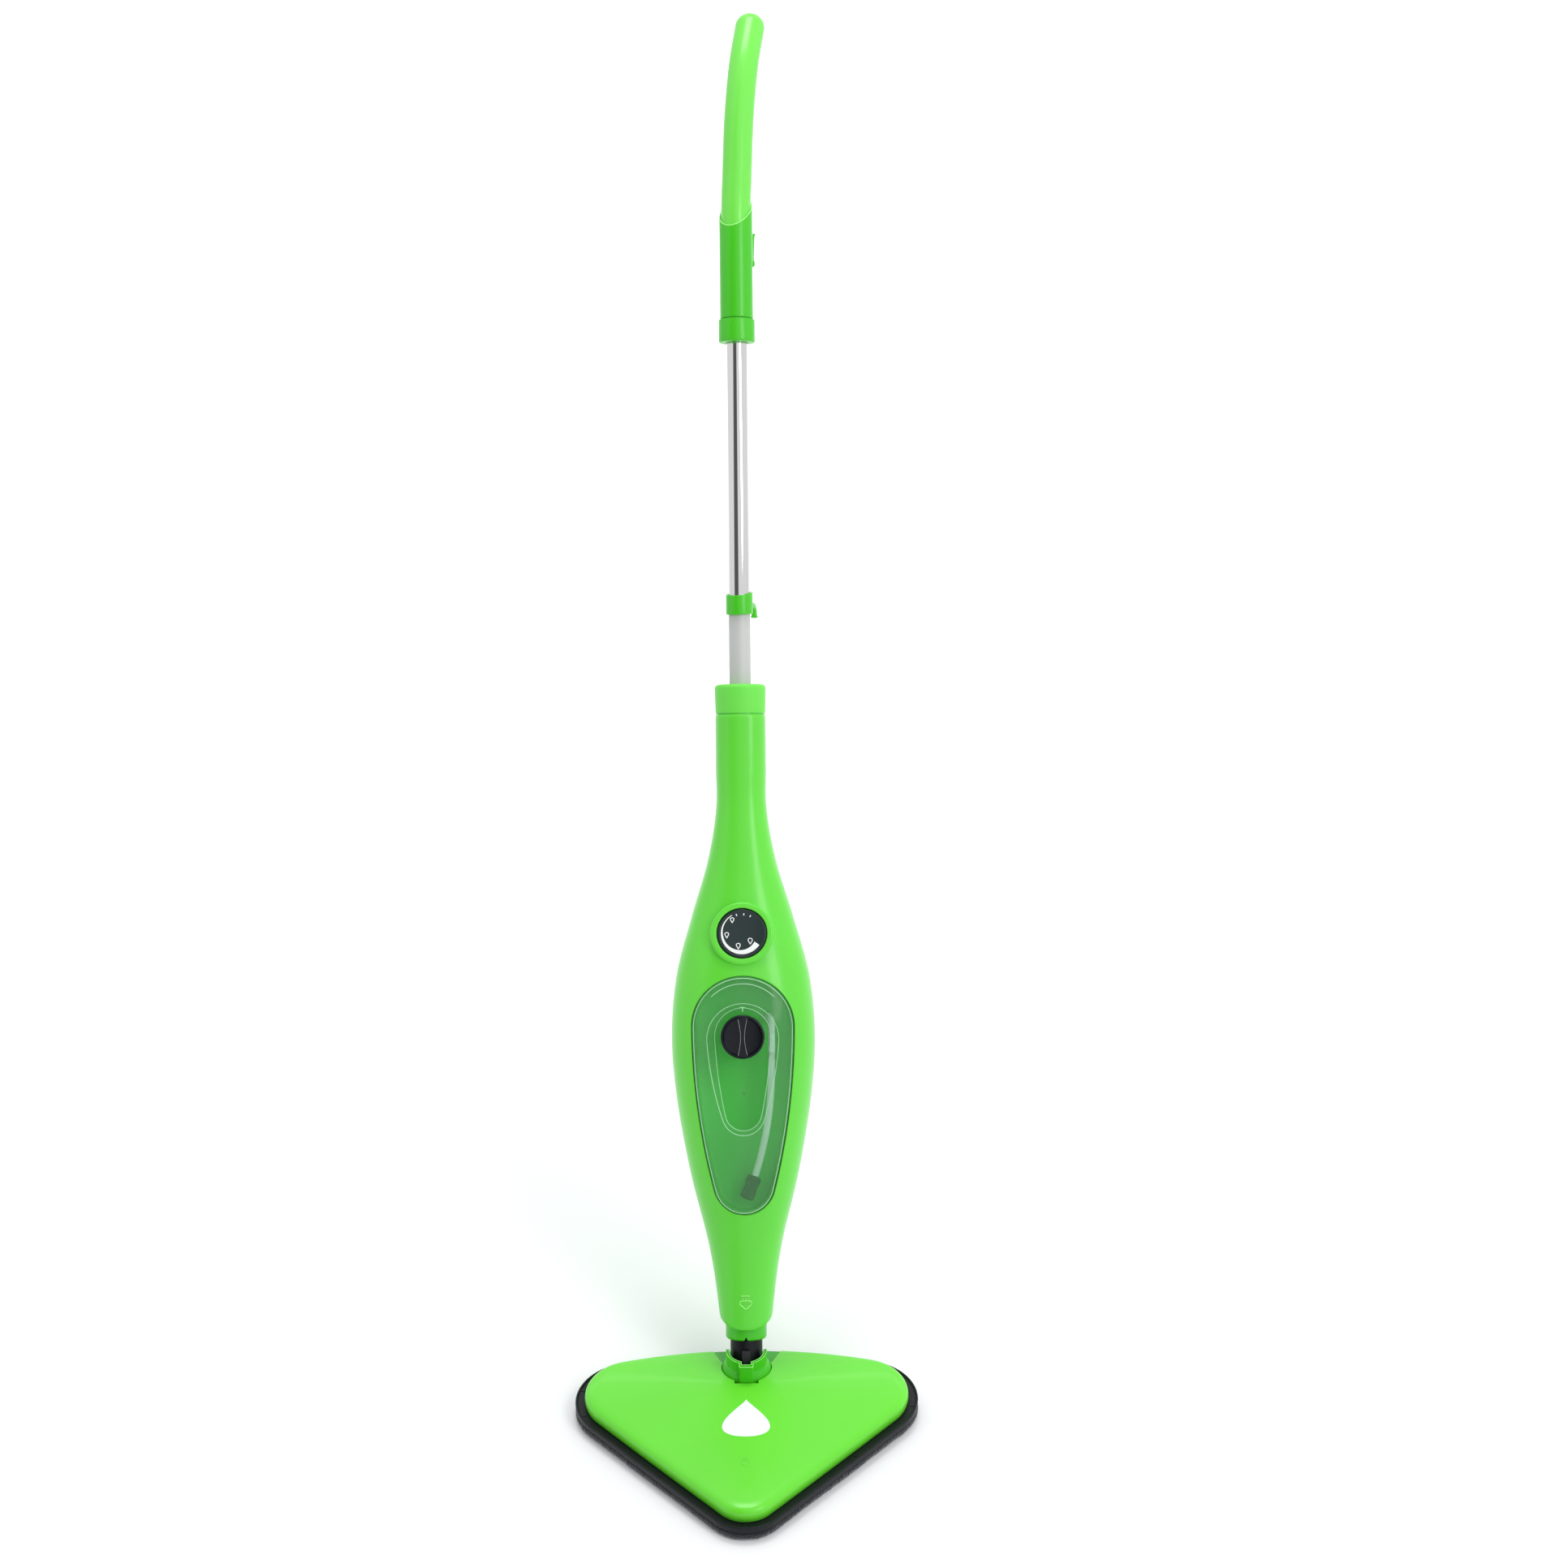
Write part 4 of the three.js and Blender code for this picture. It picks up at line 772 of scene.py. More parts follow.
def shell_row(z, hole, side, face):
    """One row of a housing half, from the inner end of its seam lip to the hole's edge or the middle.
    side is -1 or 1 in X, face is -1 for the front housing and 1 for the rear one."""
    z = np.full(COLUMNS, float(z)) if np.ndim(z) == 0 else z
    start = np.arcsin(((SEAM_R + SEAM_GAP) / half_depth(z)) ** (UNIT_POWER / 2))
    end = np.arccos(np.clip(hole / half_width(z), 0, 1) ** (UNIT_POWER / 2))
    x, y = around(z, start + (end - start) * np.linspace(0, 1, COLUMNS))
    x[-1] = hole
    lip = [(x[0] - SEAM_LIP, SEAM_GAP, z[0])]
    lip += [(x[0] - SEAM_R * (1 - math.cos(t)), SEAM_GAP + SEAM_R * (1 - math.sin(t)), z[0])
            for t in np.radians((90, 60, 30))]
    return [(side * px, face * py, pz) for px, py, pz in [*lip, *zip(x, y, z)]]


def chin_heights(face, end_z, t):
    """Heights of a row's points a share t of the way from the slanted lower edge up to end_z."""
    z = np.full(COLUMNS, 45.0)
    for _ in range(8):
        _, y = around(z, np.linspace(0.03, math.pi / 2, COLUMNS))
        z = CHIN_Z + (face * y + half_depth(40)) * CHIN_SLOPE
    return z * (1 - t) + end_z * t


def half_shell(side, face, heights):
    """Rows of a quarter of the unit, from inside its lower mouth to inside its top."""
    rows = [shell_row(chin_heights(face, heights[0], k / CHIN_ROWS), 0.0, side, face)
            for k in range(CHIN_ROWS)]
    for z in heights:
        hole = max(hole_at(z, window_edge), hole_at(z, bezel_edge)) if face < 0 else 0.0
        rows.append(shell_row(z, hole, side, face))
    top, low = rows[-1], rows[0]
    for inset, rise in TOP_RIM:
        share = 1 - inset / half_width(UNIT_TOP)
        rows.append([(x * share, y * share, z + rise) for x, y, z in top])
    for inset, rise in LOW_RIM:
        share = 1 - inset / LOW_R
        rows.insert(0, [(x * share, y * share, z + rise) for x, y, z in low])
    mouth = []
    for x, y, z in low:
        share = (NOZZLE_R + 0.4) / math.hypot(x, y)
        mouth.append((x * share, y * share, CHIN_Z - 0.5 + (y * share + half_depth(40)) * CHIN_SLOPE))
    rows.insert(0, mouth)
    rows.insert(0, [(x, y, z + 3) for x, y, z in mouth])
    return rows


def edge_lip(edge, side, radius, wall):
    """A rounded lip and a wall going in from a hole's edge, on one side."""
    z = cosine(edge[0, 1], edge[-1, 1], 90)
    x = hole_at(z, edge)
    x[0] = x[-1] = 0
    along = np.gradient(np.column_stack((x, z)), axis=0)
    along[0], along[-1] = (1, 0), (-1, 0)
    along /= np.linalg.norm(along, axis=1, keepdims=True)
    steps = [(radius * math.sin(t), radius * (1 - math.cos(t))) for t in np.radians((0, 22, 45, 68, 90))]
    rows = []
    for inward, sink in [*steps, (radius, wall)]:
        px, pz = x - along[:, 1] * inward, z + along[:, 0] * inward
        rows.append([(side * a, front_y(a, b) + sink, b) for a, b in zip(px, pz)])
    return rows


window_heights = cosine(window_edge[0, 1], window_edge[-1, 1], 90)
bezel_heights = cosine(bezel_edge[0, 1], bezel_edge[-1, 1], 36)
between = np.linspace(window_heights[-1], bezel_heights[0], 7)[1:-1]
over = np.linspace(bezel_heights[-1], UNIT_TOP - 0.8, 70)[1:]
bm = bmesh.new()
for side in (-1, 1):
    lattice(bm, half_shell(side, -1, [*window_heights, *between, *bezel_heights, *over]), wrap=False)
    lattice(bm, edge_lip(window_edge, side, LIP_R, LIP_WALL), wrap=False)
piece("front_shell", bm, STICK, "unit", "lime_gloss", ["front_housing"], sharp=50)

bm = bmesh.new()
for side in (-1, 1):
    lattice(bm, half_shell(side, 1, np.linspace(REAR_FROM, UNIT_TOP - 0.8, 150)), wrap=False)
rear_shell = piece("rear_shell", bm, STICK, "unit", "lime_gloss", ["rear_housing"], sharp=50)


def site_behind(node):
    """Frame at a CAD node's middle on the unit, its Z pointing back."""
    middle = sum(local(node, STICK)) / 2 * MM
    return STICK @ Matrix.Translation((middle[0], 0, middle[2])) @ ALONG_Y.inverted()


for node in [n for n in frame["nodes"] if n.startswith("housing_screw")]:
    cut(rear_shell, (site_behind(node), drum(SCREW_HOLE_R, SCREW_HOLE_FROM, FARTHER, 48)), solver="EXACT")
GLAND = site_behind("cord_gland")
cut(rear_shell, (GLAND, drum(GLAND_HOLE_R, GLAND_HOLE_FROM, FARTHER, 64)), solver="EXACT")
shade(rear_shell.data, 40)
gland_end = local("cord_gland", STICK)[1][1]
turned_piece("gland_sleeve", [(3.7, 17.6, 0), (6.4, 17.6, 0.3), (6.4, 22.4, 0), (8.2, 22.4, 0.5),
                              (8.2, 24.9, 0.8), (6.4, 25.2, 0.4), (5.9, gland_end, 0.7), (3.7, gland_end, 0.5)],
             GLAND, "unit", "rubber", ["cord_gland"], sides=64)

# ---------------------------------------------------------------- dial
DISC_R, DISC_DEPTH, DISC_SUNK = 21.0, 7.0, 0.25
BEZEL_IN, BEZEL_OUT, BEZEL_RIM = 21.7, 26.9, 0.8
# angle, distance from the middle and size of each drop, then the angles of the ticks
DIAL_DROPS = ((126, 13.9, 2.1), (187, 13.0, 2.3), (254, 11.4, 2.4), (316, 9.8, 2.5))
DIAL_TICKS = (64, 84, 106)
bezel_floor = dial_face - 7.4
turned_piece("dial_bezel", [(BEZEL_IN, bezel_floor, 0), (BEZEL_IN, dial_face + BEZEL_RIM, 0.6),
                            (BEZEL_OUT, dial_face + BEZEL_RIM, 2.2), (BEZEL_OUT, dial_face - 16, 0),
                            (25, dial_face - 16, 0), (25, dial_face - 9, 0), (5, dial_face - 9, 0),
                            (5, bezel_floor, 0)], DIAL, "unit", "lime_gloss")

flat = dial_face - DISC_SUNK
disc_low = dial_face - DISC_DEPTH
bm = bmesh.new()
lathe(bm, rounded([(0.01, disc_low, 0), (DISC_R, disc_low, 0.5), (DISC_R, dial_face, 0.9),
                   (19.2, dial_face, 0.2), (18.9, flat, 0.2), (0.01, flat, 0)], steps=4), 128)
lathe(bm, [(3.4, 20), (3.4, disc_low)], 48)
piece("dial_disc", bm, DIAL, "dial", "black_gloss", ["steam_dial"], look=finish["dial_black"])


def crescent(radius, start, end, thin, thick, count=60):
    """A scale round part of a circle that grows from thin to thick."""
    outer_side, inner_side = [], []
    for k in range(count + 1):
        t = k / count
        a = math.radians(start + (end - start) * t)
        width = thin + (thick - thin) * t**1.3
        outer_side.append((radius * math.cos(a), radius * math.sin(a)))
        inner_side.append(((radius - width) * math.cos(a), (radius - width) * math.sin(a)))
    return outer_side + inner_side[::-1]


def drop(x, y, size, count=28):
    """A plain water drop, its tip up, or down when its size is negative."""
    return [(x + size * math.sin(a) * math.sin(a / 2) ** 1.6, y - size * math.cos(a))
            for a in full_turn(count)]


bm = bmesh.new()
prism(bm, crescent(17.8, 118, 326, 0.6, 5.0), flat - 0.3, flat + 0.06)
piece("dial_scale", bm, DIAL, "dial", "white_plastic", look=finish["white_mark"])
bm = bmesh.new()
for angle, reach, size in DIAL_DROPS:
    place = heading(math.radians(angle)) * reach
    bead(bm, [(x, y, flat) for x, y in drop(*place, size)], 0.4, closed=True)
for angle in DIAL_TICKS:
    bead(bm, [(*(heading(math.radians(angle)) * r), flat) for r in (15.4, 16.2, 17.2)], 0.45)
piece("dial_drops", bm, DIAL, "dial", "white_plastic", look=finish["white_mark"])

# ---------------------------------------------------------------- water tank
LENS = 3.4
FLOOR_DEPTH = -1.2
HOLE_R = 13.2
LEVEL_INSET, LEVEL_FROM = 6.5, 325
CUP_GAP, CUP_WALL = 0.35, 2.6
CUP_FLOOR_Y, CUP_FLOOR_INSET = -14.0, 5.6
CUP_MIDDLE = np.array((0.0, 240.0))
# inset and depth of the lens's rim and of the plateau's rim
LENS_RIM = ((0.35, -LENS), (0.35, -0.9), (0.45, -0.45), (0.75, -0.12), (1.2, 0.0))
PLATEAU_RIM = ((-0.2, -0.06), (0.0, -0.25), (0.25, -0.5), (0.6, -0.62))
cap_z = (STICK.inverted() @ Vector(joints["tank_cap_turn"]["pos_m"])).z / MM


def on_front(points, offset):
    return [(x, front_y(x, z, offset), z) for x, z in points]


def hole_ring(like):
    """Points of the cap's hole in the same directions as the points of another ring."""
    v = like - np.array((0, cap_z))
    return np.array((0, cap_z)) + v / np.linalg.norm(v, axis=1, keepdims=True) * HOLE_R


def window_ring(inset):
    return outline(WINDOW, inset, *WINDOW_POINTS)


def plateau_ring(inset):
    return outline(PLATEAU, inset, *WINDOW_POINTS)


def floor_ring(inset):
    return outline(PLATEAU_FLOOR, inset, *WINDOW_POINTS)


def part_way(a, b, shares):
    return [(t, a * (1 - t) + b * t) for t in shares]


inner_edge = floor_ring(0)
mouth = hole_ring(inner_edge)
steps = [(window_ring(inset), depth) for inset, depth in LENS_RIM]
steps += [(points, 0.0) for _, points in part_way(window_ring(1.2), plateau_ring(-0.5),
                                                  (0.15, 0.3, 0.45, 0.6, 0.75, 0.9, 1.0))]
steps += [(plateau_ring(inset), depth) for inset, depth in PLATEAU_RIM]
steps += [(points, -0.62 - 0.4 * t)
          for t, points in part_way(plateau_ring(0.6), inner_edge, (0.3, 0.6, 0.9, 1.0))]
steps.append((floor_ring(0.4), FLOOR_DEPTH))
steps += [(points, FLOOR_DEPTH) for _, points in part_way(inner_edge, mouth, (0.2, 0.4, 0.6, 0.8, 0.95))]
steps += [(mouth, -1.5), (mouth, -LENS)]
steps += [(points, -LENS) for _, points in part_way(mouth, window_ring(0.35), (0.2, 0.5, 0.8))]
bm = bmesh.new()
lattice(bm, [on_front(points, depth) for points, depth in steps], loop_rows=True)
lens = piece("tank_window_shell", bm, STICK, "unit", "tank_window", ["water_tank_front"], sharp=60)
to_stick = STICK.inverted()
floor_edge = right_side(PLATEAU_FLOOR, 0)


def on_plateau(c, n):
    here = to_stick @ (c * MM) / MM
    return abs(here.x) < hole_at(here.z, floor_edge)


mark_faces(lens.data, on_plateau)

cup_back = local("water_tank_back", STICK)[1][1]
rows = [on_front(window_ring(inset), -LENS - CUP_GAP) for inset in (CUP_WALL, 0.6)]
for inset, y in ((0.6, -18), (0.6, -13.5), (1.0, -12.4), (2.1, cup_back)):
    rows.append([(x, y, z) for x, z in window_ring(inset)])
for inset, y, shares in ((2.1, cup_back, (0.6, 0.2, 0.01)), (CUP_FLOOR_INSET, CUP_FLOOR_Y, (0.01, 0.2, 0.6))):
    for share in shares:
        rows.append([(x, y, z) for x, z in CUP_MIDDLE + (window_ring(inset) - CUP_MIDDLE) * share])
for inset, y in ((CUP_FLOOR_INSET, CUP_FLOOR_Y), (3.9, -14.6), (2.9, -16), (CUP_WALL, -18)):
    rows.append([(x, y, z) for x, z in window_ring(inset)])
bm = bmesh.new()
lattice(bm, rows, loop_rows=True)
piece("tank_cup", bm, STICK, "unit", "tank_green", ["water_tank_back"], sharp=60)

# pale lines along the window's rim, the plateau's edge and the floor's edge: painted highlights on the steps; the
# arc near the top is a level line
bm = bmesh.new()
level = sorted([p for p in window_ring(LEVEL_INSET) if p[1] > LEVEL_FROM], key=lambda p: p[0])
bead(bm, on_front(level, -0.05), 0.3)
for points, depth, radius in ((window_ring(1.9), 0.02, 0.3), (plateau_ring(0.35), -0.5, 0.28),
                              (inner_edge, -1.0, 0.24)):
    bead(bm, on_front(points, depth), radius, closed=True)
piece("tank_window_lines", bm, STICK, "unit", "tank_window", look=finish["pale_mark_and_highlight"])

# ---------------------------------------------------------------- suction hose, weight and tank cap
HOSE_R = 3.0
HOSE_LINE = [(22, -18.4, 306), (22, -22, 306), (24, -30, 304.5), (24.4, -35, 294), (23.4, -36, 245),
             (20.2, -34.5, 216.5), (14.7, -31, 190.5), (9.4, -27.4, 172)]
WEIGHT_R, WEIGHT_WAIST, WEIGHT_HALF = 6.2, 5.7, 10.0
WEIGHT_PLACE, WEIGHT_LEAN = Vector((5.2, -25.6, 161.2)) * MM, math.radians(22)
KNOB_R, KNOB_RIM_R, KNOB_DISH = 18.5, 16.6, 4.0
BAR_STEPS = 25
bm = bmesh.new()
bead(bm, spline(HOSE_LINE, 8), HOSE_R, sides=24)
piece("suction_tube", bm, STICK, "unit", "hose_clear", ["suction_hose"])

turned_piece("tube_weight", [(0.01, -WEIGHT_HALF, 0), (WEIGHT_R, -WEIGHT_HALF, 1.2), (WEIGHT_R, -3, 0.3),
                             (WEIGHT_WAIST, -2.6, 0.3), (WEIGHT_WAIST, 2.6, 0.3), (WEIGHT_R, 3, 0.3),
                             (WEIGHT_R, WEIGHT_HALF, 1.0), (3, WEIGHT_HALF, 0.3), (3, 8, 0), (0.01, 8, 0)],
             STICK @ Matrix.Translation(WEIGHT_PLACE) @ Matrix.Rotation(WEIGHT_LEAN, 4, "Y"),
             "unit", "black_plastic", ["suction_weight"], sides=64, closed=False)

CAP = STICK @ axes(RIGHT, OUT.cross(RIGHT), OUT, Vector((0, 0, cap_z * MM)))
knob_top = local("tank_cap_knob", CAP)[1][2] - 1
seat = local("tank_cap_stopper", CAP)[1][2] + 0.3
bm = bmesh.new()
lathe(bm, rounded([(0.01, seat, 0), (KNOB_R, seat, 0.6), (KNOB_R, knob_top, 1.1), (KNOB_RIM_R, knob_top, 0.5),
                   (16.0, knob_top - KNOB_DISH, 1.2), (0.01, knob_top - KNOB_DISH, 0)]), 96)
lathe(bm, [(2.95, 36), (2.95, seat)], 32)
piece("cap_knob_body", bm, CAP, "cap_knob", "black_gloss", ["tank_cap_knob"])

bar = [(-(1.9 + 3.0 * abs(t) ** 1.7), KNOB_RIM_R * t) for t in np.linspace(-1, 1, BAR_STEPS)]
bar = bar[::-1] + [(-x, y) for x, y in bar]
bm = bmesh.new()
prism(bm, bar, knob_top - 5, knob_top + 0.9, 0.7)
piece("cap_knob_bar", bm, CAP, "cap_knob", "black_gloss")

# pale grey lines along both sides of the bar: painted highlights on its edges
bm = bmesh.new()
for side in bar[:BAR_STEPS], bar[BAR_STEPS:]:
    bead(bm, [(x * 0.86, y, knob_top + 0.85) for x, y in side[1:-1]], 0.22)
piece("cap_knob_highlights", bm, CAP, "cap_knob", "black_gloss", look=finish["grey_highlight"])

low, high = (0.05 - front_y(0, cap_z + rise, FLOOR_DEPTH) for rise in (21, 24))
bm = bmesh.new()
bead(bm, [(0, 20.6, low), (0, 24.2, high)], 0.4)
bead(bm, [(-2, 24.2, high), (2, 24.2, high)], 0.4)
piece("cap_lock_mark", bm, CAP, "unit", "tank_window", look=finish["pale_mark_and_highlight"])

# ---------------------------------------------------------------- nozzle collar
NOZZLE_BORE_R, NOZZLE_BORE_TOP, NOZZLE_HOLE_R = 14.5, 60.6, 6.0
low, high = (corner[2] for corner in local("nozzle_collar", STICK))
nozzle = turned_piece("nozzle_shell", [(NOZZLE_BORE_R, low, 0.5), (NOZZLE_R, low, 2.4), (NOZZLE_R, high, 0),
                                       (NOZZLE_HOLE_R, high, 0), (NOZZLE_HOLE_R, NOZZLE_BORE_TOP, 0),
                                       (NOZZLE_BORE_R, NOZZLE_BORE_TOP, 0)],
                      STICK, "unit", "lime_deep", ["nozzle_collar"])
notch = [(-3.0, low - 2), (3.0, low - 2), (1.2, low + 1.3), (0.3, low + 3.5), (-0.3, low + 3.5),
         (-1.2, low + 1.3)]
cut(nozzle, (STICK @ ALONG_Y, lambda bm: prism(bm, notch, 5, 30)))
shade(nozzle.data, 35)

# ---------------------------------------------------------------- raised steam marks on the unit and the head
# each lobe of the puff: middle, radius and the angles it runs between
LOBES = ((-0.42, -0.05, 0.36, 100, 250), (0, -0.38, 0.4, 200, 340), (0.42, -0.05, 0.36, 290, 440))
UNIT_MARK, UNIT_MARK_Z = 6.4, 62.5
HEAD_MARK, HEAD_MARK_Y = 5.2, -118
DROP_SIZE, DROP_WIDEN, DROP_Y = 22.5, 1.3, -66


def steam_mark(size):
    """A plain puff of steam under a short bar: a closed path and a list of open ones."""
    puff = []
    for cx, cy, r, a0, a1 in LOBES:
        for a in np.radians(np.linspace(a0, a1, 9)):
            puff.append((size * (cx + r * math.cos(a)), size * (cy + r * math.sin(a))))
    bars = [[(size * x, size * 0.95) for x in (-0.6, -0.2, 0.2, 0.6)]]
    bars += [[(size * (x + 0.06 * math.sin(6 * t)), size * (0.42 + 0.4 * t)) for t in (0, 0.25, 0.5, 0.75, 1)]
             for x in (-0.3, 0, 0.3)]
    return puff, bars


def on_unit(points):
    return [(x, front_y(x, UNIT_MARK_Z + z) + 0.1, UNIT_MARK_Z + z) for x, z in points]


def cover_height(x, y):
    """Height of the head's dome over a point of the floor plan, in millimetres."""
    hit, place, _, _ = cover.ray_cast(Vector((x * MM, y * MM, 0.1)), Vector((0, 0, -1)))
    return place.z / MM if hit else 30.0


def draped(points, y, sink):
    return [(px, py + y, cover_height(px, py + y) - sink) for px, py in points]


# the raised puff is real relief; its paler green is a painted highlight on the raised lines
puff, bars = steam_mark(UNIT_MARK)
bm = bmesh.new()
bead(bm, on_unit(puff), 0.6, closed=True)
for path in bars:
    bead(bm, on_unit(path), 0.5)
piece("unit_steam_mark", bm, STICK, "unit", "lime_gloss", look=finish["lime_highlight"])

bpy.context.view_layer.update()
puff, bars = steam_mark(HEAD_MARK)
bm = bmesh.new()
bead(bm, draped(puff, HEAD_MARK_Y, 0.05), 0.42, closed=True)
for path in bars:
    bead(bm, draped(path, HEAD_MARK_Y, 0.05), 0.36)
piece("head_steam_mark", bm, HEAD, "head", "head_lime")

big_drop = np.array(drop(0, 0, -DROP_SIZE, 96)) * (DROP_WIDEN, 1)
rows = [draped(big_drop, DROP_Y, 0.4)]
rows += [draped(big_drop * share, DROP_Y, -0.09) for share in (0.995, 0.85, 0.7, 0.55, 0.4, 0.25, 0.1, 0.02)]
bm = bmesh.new()
lattice(bm, rows, close_ends=True)
piece("head_drop_mark", bm, HEAD, "head", "white_plastic", look=finish["white_mark"])

# ---------------------------------------------------------------- poles, cap and ring
POLE_R, POLE_WALL = 9.3, 1.2
POLE_HOLE_R, CAP_HOLE_R, CAP_OUT_R, RING_R = 9.45, 9.6, 22.0, 15.75
for name, node, slot in (("lower_tube", "lower_pole", "satin_steel"), ("upper_tube", "upper_pole", "chrome")):
    low, high = (corner[2] for corner in local(node, HANDLE))
    turned_piece(name, [(POLE_R - POLE_WALL, low, 0.3), (POLE_R, low, 0.5), (POLE_R, high, 0.5),
                        (POLE_R - POLE_WALL, high, 0.3)], HANDLE, "unit", slot, [node], steps=3)

low, high = (corner[2] for corner in local("grip_end_cap", STICK))
turned_piece("grip_cap_ring", [(CAP_HOLE_R, low, 0), (CAP_OUT_R - 0.6, low, 0.7), (CAP_OUT_R, high - 4, 0),
                               (CAP_OUT_R, high, 3.2), (CAP_HOLE_R, high, 0.8)],
             STICK, "unit", "lime_matte", ["grip_end_cap"])
bm = bmesh.new()
lathe(bm, [(19.6, low + 0.4), (20.9, low + 0.4), (20.9, UNIT_TOP - 0.3), (19.6, UNIT_TOP - 0.3)], closed=True)
piece("grip_cap_seam", bm, STICK, "unit", "lime_deep")

low, ring_top = (corner[2] for corner in local("handle_ring", HANDLE))
turned_piece("handle_ring_band", [(POLE_HOLE_R, low, 0.3), (RING_R, low, 1.5), (RING_R, ring_top, 0.5),
                                  (POLE_HOLE_R, ring_top, 0.3)], HANDLE, "unit", "lime_deep", ["handle_ring"])


# ---------------------------------------------------------------- cord clip and handle
def dipped(bm, outer, inner, bottom, top, lip, sides=144):
    """A ring whose two edges follow functions of the angle, with rounded rims."""
    a = full_turn(sides)
    low, high = bottom(a), top(a)
    tall = 20
    corners = [(inner, 0, 0.2), (outer, 0, lip), (outer, tall, lip), (inner, tall, 0.2)]
    rows = []
    for r, h in rounded(corners, closed=True):
        z = np.where(h < tall / 2, low + h, high - tall + h)
        rows.append(np.column_stack((r * np.cos(a), r * np.sin(a), z)))
    lattice(bm, rows, loop_rows=True)


def bar_section(half, thick, corner=1.6):
    return [tuple(p) for p in rounded([(-half, -thick, corner), (half, -thick, corner), (half, thick, corner),
                                       (-half, thick, corner)], closed=True, steps=4)]


def hook(bm, foot, toe, start, waist, half, reach=39.0, thick=5.0):
    """A cord hook going back from the pole, slimmer at its waist, its toe rounded."""
    turn = 1 if toe > foot else -1
    back = reach - thick / 2
    path = rounded([(start, foot, 0), (back, foot, 7), (back, toe - turn * 2.4, 0)], steps=10)
    rows = []
    for i, (y, z) in enumerate(path):
        a, b = path[max(i - 1, 0)], path[min(i + 1, len(path) - 1)]
        t = (b - a) / np.linalg.norm(b - a)
        n = np.array((-t[1], t[0]))
        along = np.clip((z - foot) / (toe - foot), 0, 1)
        slim = half - (half - waist) * math.sin(math.pi * along) ** 0.6
        rows.append([(x, y + n[0] * h, z + n[1] * h) for x, h in bar_section(slim, thick / 2)])
    y, z = path[-1]
    for k in (0.35, 0.7, 0.92, 1.0):
        shrink = math.sqrt(max(0.0, 1 - k * k))
        rows.append([(x * (0.72 + 0.28 * shrink), y - turn * h * (0.25 + 0.75 * shrink), z + turn * 2.2 * k)
                     for x, h in bar_section(half, thick / 2)])
    lattice(bm, rows, close_ends=True)


CLIP_LOW, CLIP_HIGH, CLIP_R = 651.2, 672.7, 11.6
SLEEVE_LOW, SLEEVE_TOP, SLEEVE_R, CORE_TOP = ring_top + 0.6, 1000.0, 14.35, 970.0
SLANT = math.tan(math.radians(46))
RIM_LINE_R, RIM_LINE_THICK = 13.75, 0.55
GRIP_R = 13.0
GRIP_LINE = [(0, 0, 972), (0, 0.6, 1000), (0, 4, 1031), (0, 10.5, 1083), (0, 23, 1131), (0, 39, 1167)]
BUTTON_R, BUTTON_RISE = 3.0, 1.8
bm = bmesh.new()
dipped(bm, CLIP_R, POLE_HOLE_R, lambda a: CLIP_LOW + 1 + np.sin(a),
       lambda a: CLIP_HIGH - 2.5 * (1 - np.sin(a)), 0.6)
piece("clip_band", bm, HANDLE, "clip", "lime_deep", ["cord_clip"])
bm = bmesh.new()
hook(bm, 661.5, 650.5, 10.2, 2.2, 3.0)
piece("clip_hook", bm, HANDLE, "clip", "lime_deep")

bm = bmesh.new()
dipped(bm, SLEEVE_R, GRIP_R + 0.35, lambda a: SLEEVE_LOW + 0 * a,
       lambda a: SLEEVE_TOP + SLEEVE_R * np.sin(a) * SLANT, 1.1)
piece("sleeve_shell", bm, HANDLE, "unit", "lime_deep", ["handle_sleeve"])
# a pale line along the sleeve's slanted rim: a painted highlight on its edge
bm = bmesh.new()
bead(bm, [(x, y, SLEEVE_TOP + y * SLANT - 0.35) for x, y, _ in ring(RIM_LINE_R, 0, 120)], RIM_LINE_THICK,
     closed=True)
piece("sleeve_rim_highlight", bm, HANDLE, "unit", "lime_deep", look=finish["lime_highlight"])
bm = bmesh.new()
lathe(bm, [(POLE_HOLE_R, SLEEVE_LOW + 0.5), (13.6, SLEEVE_LOW + 0.5), (13.6, CORE_TOP),
           (POLE_HOLE_R, CORE_TOP)], 64, closed=True)
piece("sleeve_core", bm, HANDLE, "unit", "lime_deep")
bm = bmesh.new()
hook(bm, 959, 987, 13.4, 2.0, 4.5)
piece("sleeve_hook", bm, HANDLE, "unit", "lime_deep")

grip_line = [Vector(p) for p in spline(GRIP_LINE, 16)]
rows = []
for i, p in enumerate(grip_line):
    t = (grip_line[min(i + 1, len(grip_line) - 1)] - grip_line[max(i - 1, 0)]).normalized()
    back = t.cross(RIGHT)
    rows.append([p + RIGHT * x + back * y for x, y, _ in ring(GRIP_R, 0)])
for lift in np.radians(np.arange(1, 13) * 7.3):
    end = grip_line[-1] + t * (GRIP_R * math.sin(lift))
    rows.append([end + RIGHT * x + back * y for x, y, _ in ring(GRIP_R * math.cos(lift), 0)])
bm = bmesh.new()
lattice(bm, rows, close_ends=True)
# the grip is shown in a paler copy of the body's lime gloss, a painted highlight
piece("grip_tube", bm, HANDLE, "unit", "lime_gloss", ["handle_grip"], look=finish["lime_gloss_lit"])

press = -(HANDLE.to_3x3().inverted() @ Vector(joints["snap_button_press"]["axis"]))
button_z = sum(local("snap_button", HANDLE))[2] / 2
BUTTON = HANDLE @ axes(RISE.cross(press), RISE, press, RISE * (button_z * MM))
turned_piece("snap_button_head", [(0.01, 8, 0), (BUTTON_R, 8, 0), (BUTTON_R, SLEEVE_R + BUTTON_RISE, 1.2),
                                  (0.01, SLEEVE_R + BUTTON_RISE, 0)],
             BUTTON, "button", "lime_deep", ["snap_button"], sides=48, closed=False)

